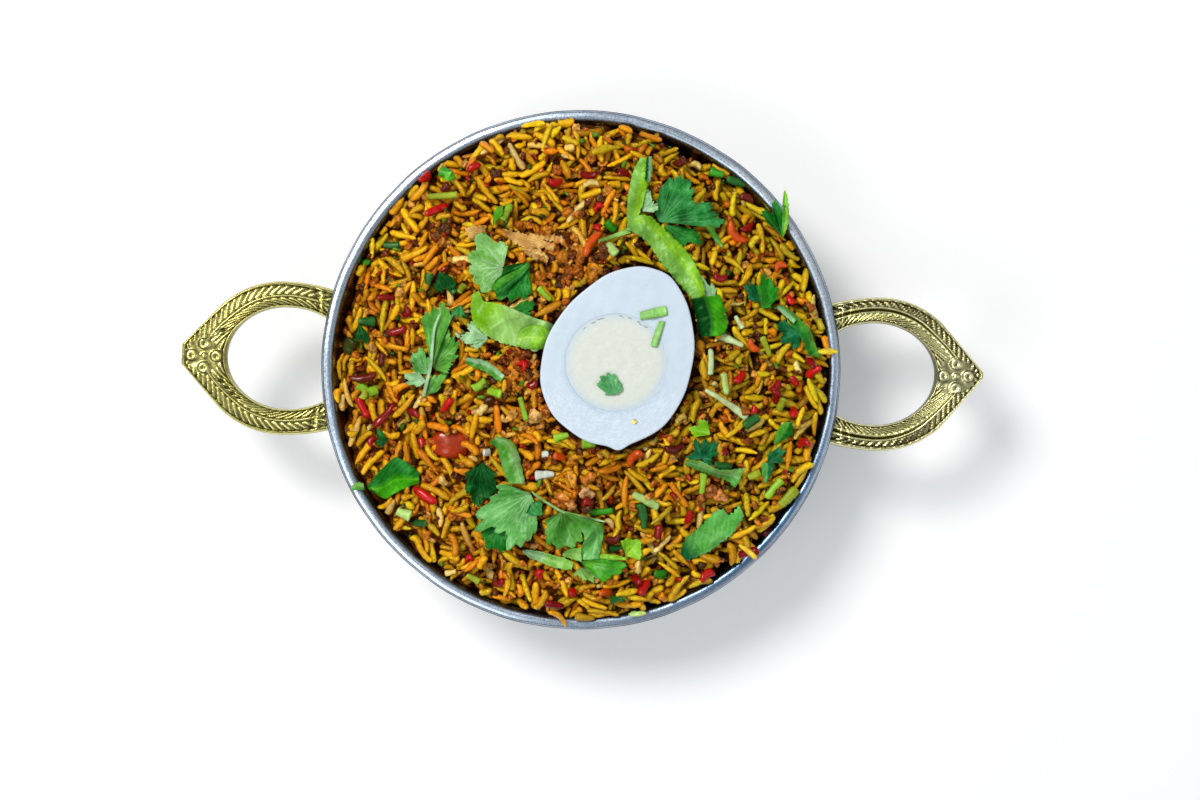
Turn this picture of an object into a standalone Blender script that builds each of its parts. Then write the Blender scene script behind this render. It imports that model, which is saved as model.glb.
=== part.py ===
"""Biryani with half a boiled egg and coriander, in a steel kadai with two cast brass handles.

Metres, +Z up. The origin is on the bowl's axis, on the underside of its base. +X points to the
right-hand handle and +Y away from the diner.
"""

import math

import bmesh
import bpy
from mathutils import Matrix, Vector
from mathutils.bvhtree import BVHTree

# Driving dimensions
MM = 0.001
GAP = 0.35 * MM  # clearance kept between two separate pieces
HOLLOW_GAP = 0.5 * MM  # clearance of a piece in its hollow in the rice
SEGMENTS = 56  # sides of everything turned on the bowl's axis

RIM_RADIUS = 80.0 * MM
RIM_HEIGHT = 55.0 * MM
BASE_RADIUS = 38.0 * MM
CORNER_RADIUS = 31.3 * MM  # round between the base and the straight flared wall
WALL_LEAN = math.radians(17.0)
WALL = 1.0 * MM
NECK_HEIGHT = 51.2 * MM  # where the wall turns out into the lip
BEAD_RADIUS = 1.4 * MM  # rolled edge of the lip

EDGE_DROP = 5.5 * MM  # how far below the rim the rice meets the wall
CROWN_RISE = 11.0 * MM  # how far above the rim the middle of the heap stands
LUMP = 1.1 * MM

EGG_CENTRE = Vector((12.2 * MM, 4.2 * MM, 71.5 * MM))  # on the cut face
EGG_LENGTH = 55.4 * MM
EGG_WIDTH = 43.8 * MM
EGG_TURN = math.radians(246.0)  # from +X to the blunt end
EGG_TAPER = 0.14
YOLK_CENTRE = Vector((10.6 * MM, 1.9 * MM, 71.5 * MM))
YOLK_RADII = Vector((15.0 * MM, 14.4 * MM, 13.0 * MM))

HANDLE_TURNS = {"left": math.radians(177.7), "right": math.radians(-0.8)}
HANDLE_TIPS = {"left": (123.2 * MM, 3.0 * MM), "right": (124.2 * MM, 0.8 * MM)}  # reach, half width
HANDLE_HEIGHT = 44.8 * MM  # underside of the loop where it meets the wall
HANDLE_RISE = 0.10  # slope of the loop, going outwards
HANDLE_THICK = 5.2 * MM
HANDLE_CHAMFER = 1.3 * MM
SHOULDER = Vector((92.5 * MM, 23.8 * MM))  # widest place of the loop's outline
SHOULDER_RADIUS = 26.9 * MM
SHANK_RADIUS = 57.0 * MM  # radius of the outline between the shoulder and the wall
SHANK_START = 77.5 * MM  # from here out the loop is clear of the bowl
EYE_CENTRE = 91.2 * MM
EYE_OUT = 18.3 * MM
EYE_IN = 20.0 * MM
EYE_HALF_WIDTH = 15.8 * MM
FOOT_SPREAD = math.radians(12.9)  # from the handle's axis to the middle of a foot
FOOT_HALF_WIDTH = 5.2 * MM
FOOT_THICK = 2.0 * MM
FOOT_LOW = 29.5 * MM
RIVET_HEIGHT = 35.5 * MM
RIVET_RADIUS = 1.5 * MM
RIVET_HEAD_RADIUS = 2.8 * MM
RIVET_HEAD_HEIGHT = 1.5 * MM
RIVET_CUT_LENGTH = 12.0 * MM

LEAF_THICK = 0.6 * MM
LEAF_DIRECTIONS = 11
LEAF_RING_STEP = 7.0 * MM  # about this far between the rings of points on a leaf

# Each leaf: its foot (x, y) in mm, the heading of its midrib in degrees, how far its tips rise in mm,
# and its lobes: (angle from the midrib in degrees, length in mm, half width in mm).
LEAVES = {
    "leaf_veined_pale": ((-22.3, 31.2), 172, 1.0, [(-62, 10.5, 4.5), (0, 11.5, 6.5), (52, 11.5, 5.0)]),
    "leaf_dark_folded": ((-26.8, 20.8), 44, 1.0, [(-12, 12.5, 3.2), (20, 13.0, 4.0)]),
    "leaf_lime_strip": ((-33.5, 18.2), -19, 1.5, [(0, 24.5, 5.2)]),
    "leaf_tall_trefoil": (
        (-46.9, -6.0), 74, 1.5, [(-44, 18.5, 3.6), (-14, 26.0, 4.2), (42, 13.5, 4.4), (82, 8.5, 3.4)]
    ),
    "sprig_upright": ((14.2, 42.8), 83, 4.0, [(-8, 20.5, 3.0), (22, 14.0, 2.4)]),
    "sprig_long": ((17.6, 42.4), -45, 1.0, [(0, 26.5, 3.6), (-7, 29.5, 2.4)]),
    "leaf_dark_fan": (
        (22.4, 43.4), 42, 2.5, [(-48, 14.5, 4.0), (-22, 22.0, 4.6), (4, 21.0, 4.8), (30, 19.0, 4.6)]
    ),
    "leaf_beside_egg": ((34.6, 14.6), 8, 0.5, [(-24, 8.5, 3.8), (14, 10.5, 4.6)]),
    "leaf_right_trefoil": ((55.6, 16.0), 88, 1.0, [(-34, 10.5, 2.8), (0, 12.0, 3.4), (38, 9.5, 2.8)]),
    "leaf_right_blade": ((60.2, 18.6), -48, 0.5, [(0, 16.5, 4.4), (26, 12.0, 3.0)]),
    "leaf_over_rim": ((61.4, 40.0), 84, 5.0, [(-14, 13.5, 3.0), (12, 15.5, 3.2)]),
    "leaf_left_folded": ((-66.6, -37.8), 24, 1.5, [(-6, 19.0, 6.0), (22, 14.5, 4.4)]),
    "leaf_south_dark": ((-29.6, -27.6), 258, 0.5, [(0, 15.5, 4.6)]),
    "leaf_south_blade": ((-23.6, -19.4), 291, 0.5, [(-10, 17.5, 4.2), (14, 15.5, 4.2)]),
    "leaf_south_big": ((-14.6, -36.4), 232, 1.0, [(-34, 18.5, 5.6), (2, 20.0, 6.0), (36, 15.0, 5.0)]),
    "leaf_south_veined": ((-11.6, -47.0), 338, 0.5, [(-8, 13.0, 4.4), (16, 12.5, 4.2)]),
    "leaf_south_pointed": ((1.6, -44.0), 278, 1.0, [(-6, 15.5, 4.0), (16, 12.5, 4.4)]),
    "leaf_south_bright": ((-0.4, -60.4), 8, 1.0, [(-8, 14.0, 3.2), (18, 12.0, 3.4)]),
    "leaf_strip_pale": ((-16.6, -56.2), 337, 0.5, [(0, 13.0, 2.2)]),
    "leaf_pair_east": ((33.2, -24.6), 318, 1.0, [(-6, 13.5, 4.6), (22, 19.5, 3.6)]),
    "leaf_far_east": ((63.6, -18.6), 252, 0.5, [(-6, 17.5, 3.4), (16, 12.0, 3.0)]),
    "leaf_pale_big": ((48.0, -43.2), 226, 1.0, [(-22, 15.5, 4.6), (6, 20.0, 5.0), (32, 13.0, 4.2)]),
}

CHICKEN_FOOT = (-23.4, 39.4)  # mm
CHICKEN_HEADING = 2.0
CHICKEN_LOBES = [(-6, 15.0, 2.6), (10, 11.5, 2.6)]
CHICKEN_THICK = 2.2 * MM
TOMATO_CENTRE = (-39.0 * MM, -21.6 * MM)
TOMATO_RADIUS = 4.6 * MM
TOMATO_SUNK = 1.2 * MM  # its middle is this far below the surface of the rice

COLOURS = {  # base colour, roughness, metallic
    "steel": ((0.62, 0.63, 0.65), 0.3, 1.0),
    "brass": ((0.60, 0.47, 0.14), 0.35, 1.0),
    "rice": ((0.62, 0.33, 0.03), 0.5, 0.0),
    "egg_white": ((0.78, 0.84, 0.88), 0.35, 0.0),
    "egg_yolk": ((0.86, 0.80, 0.56), 0.7, 0.0),
    "leaf": ((0.08, 0.30, 0.04), 0.45, 0.0),
    "chicken": ((0.62, 0.44, 0.24), 0.6, 0.0),
    "tomato": ((0.36, 0.06, 0.03), 0.35, 0.0),
}


def clear_scene():
    for old in list(bpy.data.objects):
        bpy.data.objects.remove(old, do_unlink=True)


def make_material(name):
    colour, roughness, metallic = COLOURS[name]
    material = bpy.data.materials.new(name)
    material.use_nodes = True
    shader = material.node_tree.nodes["Principled BSDF"]
    shader.inputs["Base Color"].default_value = (*colour, 1.0)
    shader.inputs["Roughness"].default_value = roughness
    shader.inputs["Metallic"].default_value = metallic
    return material


def add_object(name, mesh, material):
    mesh.shade_smooth()
    mesh.set_sharp_from_angle(angle=math.radians(40))
    mesh.materials.append(material)
    piece = bpy.data.objects.new(name, mesh)
    bpy.context.scene.collection.objects.link(piece)
    return piece


def mesh_from(name, points, faces):
    """A mesh with all its normals pointing out."""
    mesh = bpy.data.meshes.new(name)
    mesh.from_pydata(points, [], faces)
    form = bmesh.new()
    form.from_mesh(mesh)
    bmesh.ops.recalc_face_normals(form, faces=form.faces)
    form.to_mesh(mesh)
    form.free()
    return mesh


def boolean(piece, helper, operation):
    """Leaves an exact Boolean on the piece, with a helper that is no part of the object."""
    helper.hide_render = True
    helper.display_type = "WIRE"
    modifier = piece.modifiers.new(helper.name, "BOOLEAN")
    modifier.operation = operation
    modifier.solver = "EXACT"
    modifier.object = helper


def solid_tree(piece):
    """The piece's evaluated surface, ready to cast rays at."""
    graph = bpy.context.evaluated_depsgraph_get()
    graph.update()
    return BVHTree.FromObject(piece, graph)


# The bowl

def arc(centre, radius, start, end, steps):
    """Points on a circle in the (r, z) plane, from start to end in radians, both ends included."""
    turns = [start + (end - start) * i / steps for i in range(steps + 1)]
    return [(centre[0] + radius * math.cos(a), centre[1] + radius * math.sin(a)) for a in turns]


def wall_radius(height, inset=0.0):
    """Radius of the bowl's outer wall at a height, or of a surface set in from it along its normal."""
    radius = CORNER_RADIUS - inset
    corner_top = CORNER_RADIUS - radius * math.sin(WALL_LEAN)
    if height < corner_top:
        rise = min(1.0, (CORNER_RADIUS - height) / radius)
        return BASE_RADIUS + radius * math.sqrt(1.0 - rise * rise)
    corner_reach = BASE_RADIUS + radius * math.cos(WALL_LEAN)
    return corner_reach + (height - corner_top) * math.tan(WALL_LEAN)


def bowl_profile():
    """Half section of the sheet-steel bowl: up the outside, round the rolled edge, down the inside."""
    corner = (BASE_RADIUS, CORNER_RADIUS)
    outside = arc(corner, CORNER_RADIUS, -math.pi / 2, -WALL_LEAN, 5)
    inside = arc(corner, CORNER_RADIUS - WALL, -WALL_LEAN, -math.pi / 2, 5)
    neck_out = (wall_radius(NECK_HEIGHT), NECK_HEIGHT)
    neck_in = (wall_radius(NECK_HEIGHT, WALL), NECK_HEIGHT + 0.3 * MM)
    bead = (RIM_RADIUS - BEAD_RADIUS, RIM_HEIGHT - BEAD_RADIUS)
    edge = arc(bead, BEAD_RADIUS, math.radians(-70), math.radians(125), 5)
    return [(0.0, 0.0), *outside, neck_out, *edge, neck_in, *inside, (0.0, WALL)]


def turned(name, profile):
    """A solid turned on the Z axis from a profile whose first and last points are on the axis."""
    ring = [[(r * math.cos(a), r * math.sin(a), z) for r, z in profile[1:-1]] for a in azimuths()]
    points = [point for station in ring for point in station]
    low, high = len(points), len(points) + 1
    points += [(0.0, 0.0, profile[0][1]), (0.0, 0.0, profile[-1][1])]
    count = len(profile) - 2
    faces = []
    for i in range(SEGMENTS):
        here, there = i * count, (i + 1) % SEGMENTS * count
        faces += [(here + k, there + k, there + k + 1, here + k + 1) for k in range(count - 1)]
        faces += [(low, there, here), (high, here + count - 1, there + count - 1)]
    return mesh_from(name, points, faces)


def azimuths():
    return [2 * math.pi * i / SEGMENTS for i in range(SEGMENTS)]


# The handles

def outline_half_width(reach, tip):
    """Half width of the handle's outer outline at a distance from the bowl's axis."""
    if reach < SHOULDER.x:
        drop = SHANK_RADIUS - math.sqrt(SHANK_RADIUS**2 - (SHOULDER.x - reach) ** 2)
        return SHOULDER.y - drop
    bend = SHOULDER_RADIUS * math.sin(math.pi / 4)
    if reach < SHOULDER.x + bend:
        drop = SHOULDER_RADIUS - math.sqrt(SHOULDER_RADIUS**2 - (reach - SHOULDER.x) ** 2)
        return SHOULDER.y - drop
    start = SHOULDER.y - SHOULDER_RADIUS * (1 - math.cos(math.pi / 4))
    along = (reach - SHOULDER.x - bend) / (tip[0] - SHOULDER.x - bend)
    return start + (tip[1] - start) * along


def handle_stations(tip):
    """Pairs of outline points (reach, side) from one wall end round the tip to the other."""
    turns = [math.radians(a) for a in (128, 112, 95, 78, 62, 47, 33, 20, 8)]
    half = []
    for turn in turns:
        stretch = EYE_OUT if turn < math.pi / 2 else EYE_IN
        eye = Vector((EYE_CENTRE + stretch * math.cos(turn), EYE_HALF_WIDTH * math.sin(turn)))
        # The outline's reach grows from the wall to the tip as the eye's angle falls to zero.
        share = (turns[0] - turn) / (turns[0] - turns[-1])
        reach = SHANK_START + (tip[0] - SHANK_START) * math.sin(share * math.pi / 2)
        half.append((eye, Vector((reach, outline_half_width(reach, tip)))))
    mirrored = [(Vector((a.x, -a.y)), Vector((b.x, -b.y))) for a, b in reversed(half)]
    return half + mirrored


def handle_section(inner, outer):
    """Six corners across the band: a flat underside, upright sides and a chamfered top."""
    across = (outer - inner).normalized()
    slope = HANDLE_CHAMFER * across
    side = HANDLE_THICK * 0.45
    return [
        (inner, 0.0),
        (outer, 0.0),
        (outer, side),
        (outer - slope, HANDLE_THICK),
        (inner + slope, HANDLE_THICK),
        (inner, side),
    ]


def handle_loop(name, tip):
    """The cast loop, lofted through its sections, its two ends following the bowl's wall."""
    stations = handle_stations(tip)
    points = []
    for inner, outer in stations:
        for place, rise in handle_section(inner, outer):
            height = HANDLE_HEIGHT + HANDLE_RISE * (place.x - SHANK_START) + rise
            points.append((place.x, place.y, height))
    ends = []
    for inner, outer in (stations[0], stations[-1]):
        for place, rise in handle_section(inner, outer):
            height = HANDLE_HEIGHT + rise
            side = math.copysign(0.45 * abs(outer.y) + 0.55 * abs(place.y), place.y)
            radius = wall_radius(height) + GAP + 0.3 * MM
            ends.append((math.sqrt(radius**2 - side**2), side, height))
    points = ends[:6] + points + ends[6:]
    rows = len(stations) + 2
    faces = [tuple(range(6)), tuple(range(6 * rows - 6, 6 * rows))]
    for row in range(rows - 1):
        for k in range(6):
            here, there = 6 * row + k, 6 * row + (k + 1) % 6
            faces.append((here, there, there + 6, here + 6))
    return mesh_from(name, points, faces)


def foot_half_angle(height):
    """Half width of a foot plate, as an angle round the bowl: round at its lower end."""
    radius = wall_radius(height)
    full = FOOT_LOW + FOOT_HALF_WIDTH
    drop = max(0.0, full - height) / FOOT_HALF_WIDTH
    return FOOT_HALF_WIDTH * math.sqrt(max(0.06, 1.0 - drop * drop)) / radius


def foot_plate(name, middle):
    """A plate that lies on the bowl's wall under one end of the loop."""
    steps, columns = 7, 4
    top = HANDLE_HEIGHT + 0.8 * HANDLE_THICK
    points = []
    for layer in (GAP + 0.1 * MM, FOOT_THICK):
        for i in range(steps + 1):
            height = FOOT_LOW + (top - FOOT_LOW) * (i / steps) ** 1.3
            for j in range(columns + 1):
                turn = middle + foot_half_angle(height) * (2 * j / columns - 1)
                radius = wall_radius(height, -layer)
                points.append((radius * math.cos(turn), radius * math.sin(turn), height))
    width = columns + 1
    size = (steps + 1) * width
    faces = []
    for i in range(steps):
        for j in range(columns):
            a = i * width + j
            faces.append((a, a + 1, a + width + 1, a + width))
            faces.append((size + a, size + a + width, size + a + width + 1, size + a + 1))
    border = [j for j in range(columns)]
    border += [i * width + columns for i in range(steps)]
    border += [steps * width + j for j in range(columns, 0, -1)]
    border += [i * width for i in range(steps, 0, -1)]
    for a, b in zip(border, border[1:] + border[:1]):
        faces.append((a, size + a, size + b, b))
    return mesh_from(name, points, faces)


def rivet_frame(turn):
    """Where a rivet's axis leaves the wall, with local Z pointing out of the bowl."""
    outward = Vector((math.cos(WALL_LEAN), 0.0, -math.sin(WALL_LEAN)))
    place = Vector((wall_radius(RIVET_HEIGHT), 0.0, RIVET_HEIGHT))
    spin = Matrix.Rotation(turn, 4, "Z")
    aim = outward.to_track_quat("Z", "Y").to_matrix().to_4x4()
    return spin @ Matrix.Translation(place) @ aim


def rivet_mesh(name):
    """A shank that ends flush with the inside of the wall, and a domed head outside the foot."""
    sides = 10
    seat = FOOT_THICK + 0.15 * MM
    profile = [(RIVET_RADIUS, -0.9 * WALL), (RIVET_RADIUS, seat), (RIVET_HEAD_RADIUS, seat)]
    for turn in (35, 68):
        a = math.radians(turn)
        profile.append((RIVET_HEAD_RADIUS * math.cos(a), seat + RIVET_HEAD_HEIGHT * math.sin(a)))
    points = []
    for i in range(sides):
        a = 2 * math.pi * i / sides
        points += [(r * math.cos(a), r * math.sin(a), z) for r, z in profile]
    count = len(profile)
    faces = [tuple(i * count for i in range(sides)), tuple(i * count + count - 1 for i in range(sides))]
    for i in range(sides):
        here, there = i * count, (i + 1) % sides * count
        faces += [(here + k, there + k, there + k + 1, here + k + 1) for k in range(count - 1)]
    return mesh_from(name, points, faces)


def rivet_cutter(name, frame):
    form = bmesh.new()
    radius = RIVET_RADIUS + GAP
    bmesh.ops.create_cone(
        form, cap_ends=True, segments=12, radius1=radius, radius2=radius, depth=RIVET_CUT_LENGTH
    )
    mesh = bpy.data.meshes.new(name)
    form.to_mesh(mesh)
    form.free()
    cutter = bpy.data.objects.new(name, mesh)
    bpy.context.scene.collection.objects.link(cutter)
    cutter.matrix_world = frame
    return cutter


def build_handle(side, bowl, brass):
    turn = HANDLE_TURNS[side]
    handle = add_object(f"handle_{side}", handle_loop(f"handle_{side}", HANDLE_TIPS[side]), brass)
    handle.rotation_euler.z = turn
    for label, sign in (("a", 1), ("b", -1)):
        spread = sign * FOOT_SPREAD
        foot = add_object(f"foot_{side}_{label}", foot_plate("foot", spread), brass)
        foot.rotation_euler.z = turn
        boolean(handle, foot, "UNION")
    for label, sign in (("a", 1), ("b", -1)):
        frame = rivet_frame(turn + sign * FOOT_SPREAD)
        cutter = rivet_cutter(f"rivet_hole_{side}_{label}", frame)
        boolean(handle, cutter, "DIFFERENCE")
        boolean(bowl, cutter, "DIFFERENCE")
        rivet = add_object(f"rivet_{side}_{label}", rivet_mesh("rivet"), brass)
        rivet.matrix_world = frame


# The heap of rice

def edge_drop(azimuth):
    """How far below the rim the rice meets the wall: deepest at the back right and at the left."""
    deep_right = 6.0 * MM * math.exp(-((azimuth - math.radians(38)) / 0.42) ** 2)
    deep_left = 2.8 * MM * math.exp(-((azimuth - math.radians(183)) / 0.45) ** 2)
    ripple = 0.7 * MM * math.sin(5 * azimuth + 0.6) + 0.4 * MM * math.sin(11 * azimuth)
    return EDGE_DROP + deep_right + deep_left + ripple


def edge_radius(azimuth):
    """Radius of the rice where it meets the wall."""
    facet = math.cos(math.pi / SEGMENTS)
    return wall_radius(RIM_HEIGHT - edge_drop(azimuth), WALL + GAP) * facet**0.5


def heap_height(radius, azimuth):
    """Height of the heap's surface: a low crown with soft lumps that die out at its edge."""
    edge = RIM_HEIGHT - edge_drop(azimuth)
    share = min(1.0, radius / edge_radius(azimuth))
    crown = (RIM_HEIGHT + CROWN_RISE - edge) * (1.0 - share * share) ** 0.8
    x, y = radius * math.cos(azimuth) / MM, radius * math.sin(azimuth) / MM
    lumps = math.sin(x / 5.3 + 0.7) * math.cos(y / 4.7) + 0.6 * math.sin(x / 3.1 - y / 3.9)
    return edge + crown + LUMP * lumps * (1.0 - share**6)


def heap_mesh():
    """The heap down to the inside of the bowl, as rings from the base up the wall to the crown."""
    inset = WALL + GAP
    corner = arc((BASE_RADIUS, CORNER_RADIUS), CORNER_RADIUS - inset, -math.pi / 2, -WALL_LEAN, 5)
    top_rings = 9
    points = []
    for azimuth in azimuths():
        cos, sin = math.cos(azimuth), math.sin(azimuth)
        points += [(r * cos, r * sin, z) for r, z in corner]
        edge = edge_radius(azimuth)
        for k in range(top_rings):
            radius = edge * (1.0 - k / top_rings)
            points.append((radius * cos, radius * sin, heap_height(radius, azimuth)))
    count = len(corner) + top_rings
    bottom, crown = len(points), len(points) + 1
    points += [(0.0, 0.0, inset), (0.0, 0.0, heap_height(0.0, 0.0))]
    faces = []
    for i in range(SEGMENTS):
        here, there = i * count, (i + 1) % SEGMENTS * count
        faces += [(here + k, there + k, there + k + 1, here + k + 1) for k in range(count - 1)]
        faces += [(bottom, there, here), (crown, here + count - 1, there + count - 1)]
    return mesh_from("rice_heap", points, faces)


# The egg

def egg_form(grow=0.0):
    """A whole egg lying on its side round the origin, its blunt end towards +X."""
    stations, sides = 16, 24
    form = bmesh.new()
    rings = []
    for i in range(1, stations):
        s = -math.cos(math.pi * i / stations)
        radius = (EGG_WIDTH / 2 + grow) * math.sqrt(1 - s * s) * (1 + EGG_TAPER * s)
        x = (EGG_LENGTH / 2 + grow) * s
        turns = [2 * math.pi * j / sides for j in range(sides)]
        rings.append([form.verts.new((x, radius * math.cos(a), radius * math.sin(a))) for a in turns])
    for near, far in zip(rings, rings[1:]):
        for j in range(sides):
            k = (j + 1) % sides
            form.faces.new((near[j], near[k], far[k], far[j]))
    for ring, x in ((rings[0], -1), (rings[-1], 1)):
        tip = form.verts.new((x * (EGG_LENGTH / 2 + grow), 0.0, 0.0))
        for j in range(sides):
            form.faces.new((tip, ring[j], ring[(j + 1) % sides]))
    bmesh.ops.recalc_face_normals(form, faces=form.faces)
    return form


def cut_level(form, height):
    """Cuts a form across at a height and keeps the closed part below."""
    whole = form.verts[:] + form.edges[:] + form.faces[:]
    cut = bmesh.ops.bisect_plane(
        form, geom=whole, plane_co=(0, 0, height), plane_no=(0, 0, 1), clear_outer=True
    )
    edges = [item for item in cut["geom_cut"] if isinstance(item, bmesh.types.BMEdge)]
    bmesh.ops.contextual_create(form, geom=edges)


def mesh_of(form, name):
    mesh = bpy.data.meshes.new(name)
    form.to_mesh(mesh)
    form.free()
    return mesh


def sphere_form(radii, segments=24, rings=12):
    form = bmesh.new()
    bmesh.ops.create_uvsphere(form, u_segments=segments, v_segments=rings, radius=1.0)
    bmesh.ops.scale(form, vec=radii, verts=form.verts)
    return form


def build_egg(heap, white_material, yolk_material):
    """Half an egg, cut side up, with its yolk let into it, and its hollow in the rice."""
    form = egg_form()
    cut_level(form, 0.0)
    white = add_object("egg_white", mesh_of(form, "egg_white"), white_material)
    white.location = EGG_CENTRE
    white.rotation_euler.z = EGG_TURN
    form = sphere_form(YOLK_RADII)
    cut_level(form, 0.0)
    yolk = add_object("egg_yolk", mesh_of(form, "egg_yolk"), yolk_material)
    yolk.location = YOLK_CENTRE
    pit_form = sphere_form(YOLK_RADII + Vector((GAP, GAP, GAP)))
    pit = add_object("yolk_pit", mesh_of(pit_form, "yolk_pit"), white_material)
    pit.location = YOLK_CENTRE
    boolean(white, pit, "DIFFERENCE")
    hollow_form = egg_form(grow=HOLLOW_GAP)
    hollow = add_object("egg_hollow", mesh_of(hollow_form, "egg_hollow"), white_material)
    hollow.location = EGG_CENTRE
    hollow.rotation_euler.z = EGG_TURN
    boolean(heap, hollow, "DIFFERENCE")


# Leaves and other toppings

def lobed_reach(turn, lobes):
    """How far a leaf reaches from its foot in one direction: the furthest of its oval lobes."""
    reach = 0.0
    for angle, length, half_width in lobes:
        off = turn - math.radians(angle)
        if math.cos(off) > 0.0:
            slender = length / (2 * half_width)
            oval = length * math.cos(off) / (math.cos(off) ** 2 + (slender * math.sin(off)) ** 2)
            reach = max(reach, oval)
    return reach * MM


def leaf_directions(lobes):
    """Directions that spread over the lobes, from where the reach is first worth having."""
    longest = max(length for _, length, _ in lobes) * MM
    steps = [math.radians(a) for a in range(-150, 151, 2)]
    inside = [a for a in steps if lobed_reach(a, lobes) > 0.3 * longest]
    first, last = inside[0], inside[-1]
    count = LEAF_DIRECTIONS - 1
    return [first + (last - first) * i / count for i in range(count + 1)]


def resting_height(trees, x, y, spread):
    """The highest surface below a point and round it, to within a spread, or the rim's height."""
    found = []
    offsets = [(0.0, 0.0)]
    for i in range(12):
        for reach in (0.5 * spread, spread):
            offsets.append((reach * math.cos(i * math.pi / 6), reach * math.sin(i * math.pi / 6)))
    for dx, dy in offsets:
        start = Vector((x + dx, y + dy, 0.2))
        for tree in trees:
            hit = tree.ray_cast(start, Vector((0, 0, -1)))[0]
            if hit is not None:
                found.append(hit.z)
    return max(found, default=RIM_HEIGHT)


def draped(name, foot, heading, lift, lobes, thickness, trees):
    """A lobed sheet that lies on what is below it, with its tips lifted, as a closed solid."""
    directions = leaf_directions(lobes)
    columns = len(directions)
    longest = max(length for _, length, _ in lobes) * MM
    rings = max(2, round(longest / LEAF_RING_STEP))
    flat = [(foot[0] * MM, foot[1] * MM, 0.0)]
    for ring in range(1, rings + 1):
        share = ring / rings
        for turn in directions:
            reach = share * lobed_reach(turn, lobes)
            aim = math.radians(heading) + turn
            x, y = foot[0] * MM + reach * math.cos(aim), foot[1] * MM + reach * math.sin(aim)
            flat.append((x, y, share))
    points = []
    for x, y, share in flat:
        height = resting_height(trees, x, y, 0.6 * longest / rings) + GAP + lift * MM * share**2
        points.append((x, y, height))
    size = len(points)
    points += [(x, y, z + thickness) for x, y, z in points]
    faces = []
    for j in range(columns - 1):
        faces.append((0, j + 1, j + 2))
        for ring in range(rings - 1):
            a = 1 + ring * columns + j
            faces.append((a, a + columns, a + columns + 1, a + 1))
    faces += [tuple(size + corner for corner in reversed(face)) for face in faces]
    outer = 1 + (rings - 1) * columns
    border = [0] + [1 + ring * columns for ring in range(rings - 1)]
    border += [outer + j for j in range(columns)]
    border += [ring * columns for ring in range(rings - 1, 0, -1)]
    for a, b in zip(border, border[1:] + border[:1]):
        faces.append((a, b, size + b, size + a))
    return mesh_from(name, points, faces)


def build_tomato(heap, material):
    """A soft round piece of tomato, more than half sunk in the rice."""
    x, y = TOMATO_CENTRE
    surface = heap_height(math.hypot(x, y), math.atan2(y, x))
    radii = Vector((TOMATO_RADIUS, 0.9 * TOMATO_RADIUS, 0.75 * TOMATO_RADIUS))
    tomato = add_object("tomato_piece", mesh_of(sphere_form(radii, 14, 8), "tomato_piece"), material)
    tomato.location = (x, y, surface - TOMATO_SUNK)
    grown = radii + Vector((HOLLOW_GAP, HOLLOW_GAP, HOLLOW_GAP))
    hollow = add_object("tomato_hollow", mesh_of(sphere_form(grown, 14, 8), "tomato_hollow"), material)
    hollow.location = tomato.location
    boolean(heap, hollow, "DIFFERENCE")
    return tomato


def main():
    clear_scene()
    paint = {name: make_material(name) for name in COLOURS}
    bowl = add_object("bowl", turned("bowl", bowl_profile()), paint["steel"])
    for side in HANDLE_TURNS:
        build_handle(side, bowl, paint["brass"])
    heap = add_object("rice_heap", heap_mesh(), paint["rice"])
    surface = solid_tree(heap)
    build_egg(heap, paint["egg_white"], paint["egg_yolk"])
    tomato = build_tomato(heap, paint["tomato"])
    below = [surface, solid_tree(bowl), solid_tree(tomato)]
    chicken = draped(
        "chicken_flake", CHICKEN_FOOT, CHICKEN_HEADING, 0.3, CHICKEN_LOBES, CHICKEN_THICK, below
    )
    below.append(solid_tree(add_object("chicken_flake", chicken, paint["chicken"])))
    for name, (foot, heading, lift, lobes) in LEAVES.items():
        sheet = draped(name, foot, heading, lift, lobes, LEAF_THICK, below)
        below.append(solid_tree(add_object(name, sheet, paint["leaf"])))


main()
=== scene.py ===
"""Looks of the biryani in its bowl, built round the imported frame.

Lengths are millimetres unless a comment says otherwise, and become metres where a mesh is made.
+X points to the right-hand handle, +Y away from the diner and +Z up.
"""

import math

import bmesh
import bpy
import numpy as np
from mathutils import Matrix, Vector
from mathutils.bvhtree import BVHTree


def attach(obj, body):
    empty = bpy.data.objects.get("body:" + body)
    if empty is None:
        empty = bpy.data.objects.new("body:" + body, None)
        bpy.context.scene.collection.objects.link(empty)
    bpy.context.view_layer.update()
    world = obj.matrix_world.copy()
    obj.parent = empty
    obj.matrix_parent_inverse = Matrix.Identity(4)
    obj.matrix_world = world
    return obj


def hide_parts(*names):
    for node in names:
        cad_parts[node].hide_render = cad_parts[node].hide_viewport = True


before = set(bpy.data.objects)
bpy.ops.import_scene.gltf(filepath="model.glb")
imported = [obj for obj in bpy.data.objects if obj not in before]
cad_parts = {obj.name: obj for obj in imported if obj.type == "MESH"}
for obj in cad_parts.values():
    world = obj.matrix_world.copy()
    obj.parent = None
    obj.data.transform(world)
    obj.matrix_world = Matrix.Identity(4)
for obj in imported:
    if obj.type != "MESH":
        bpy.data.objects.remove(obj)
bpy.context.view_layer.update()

MM = 0.001
RNG = np.random.default_rng(2026)
ANY_START = 6.3  # random starts of waves lie anywhere in a full turn

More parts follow.
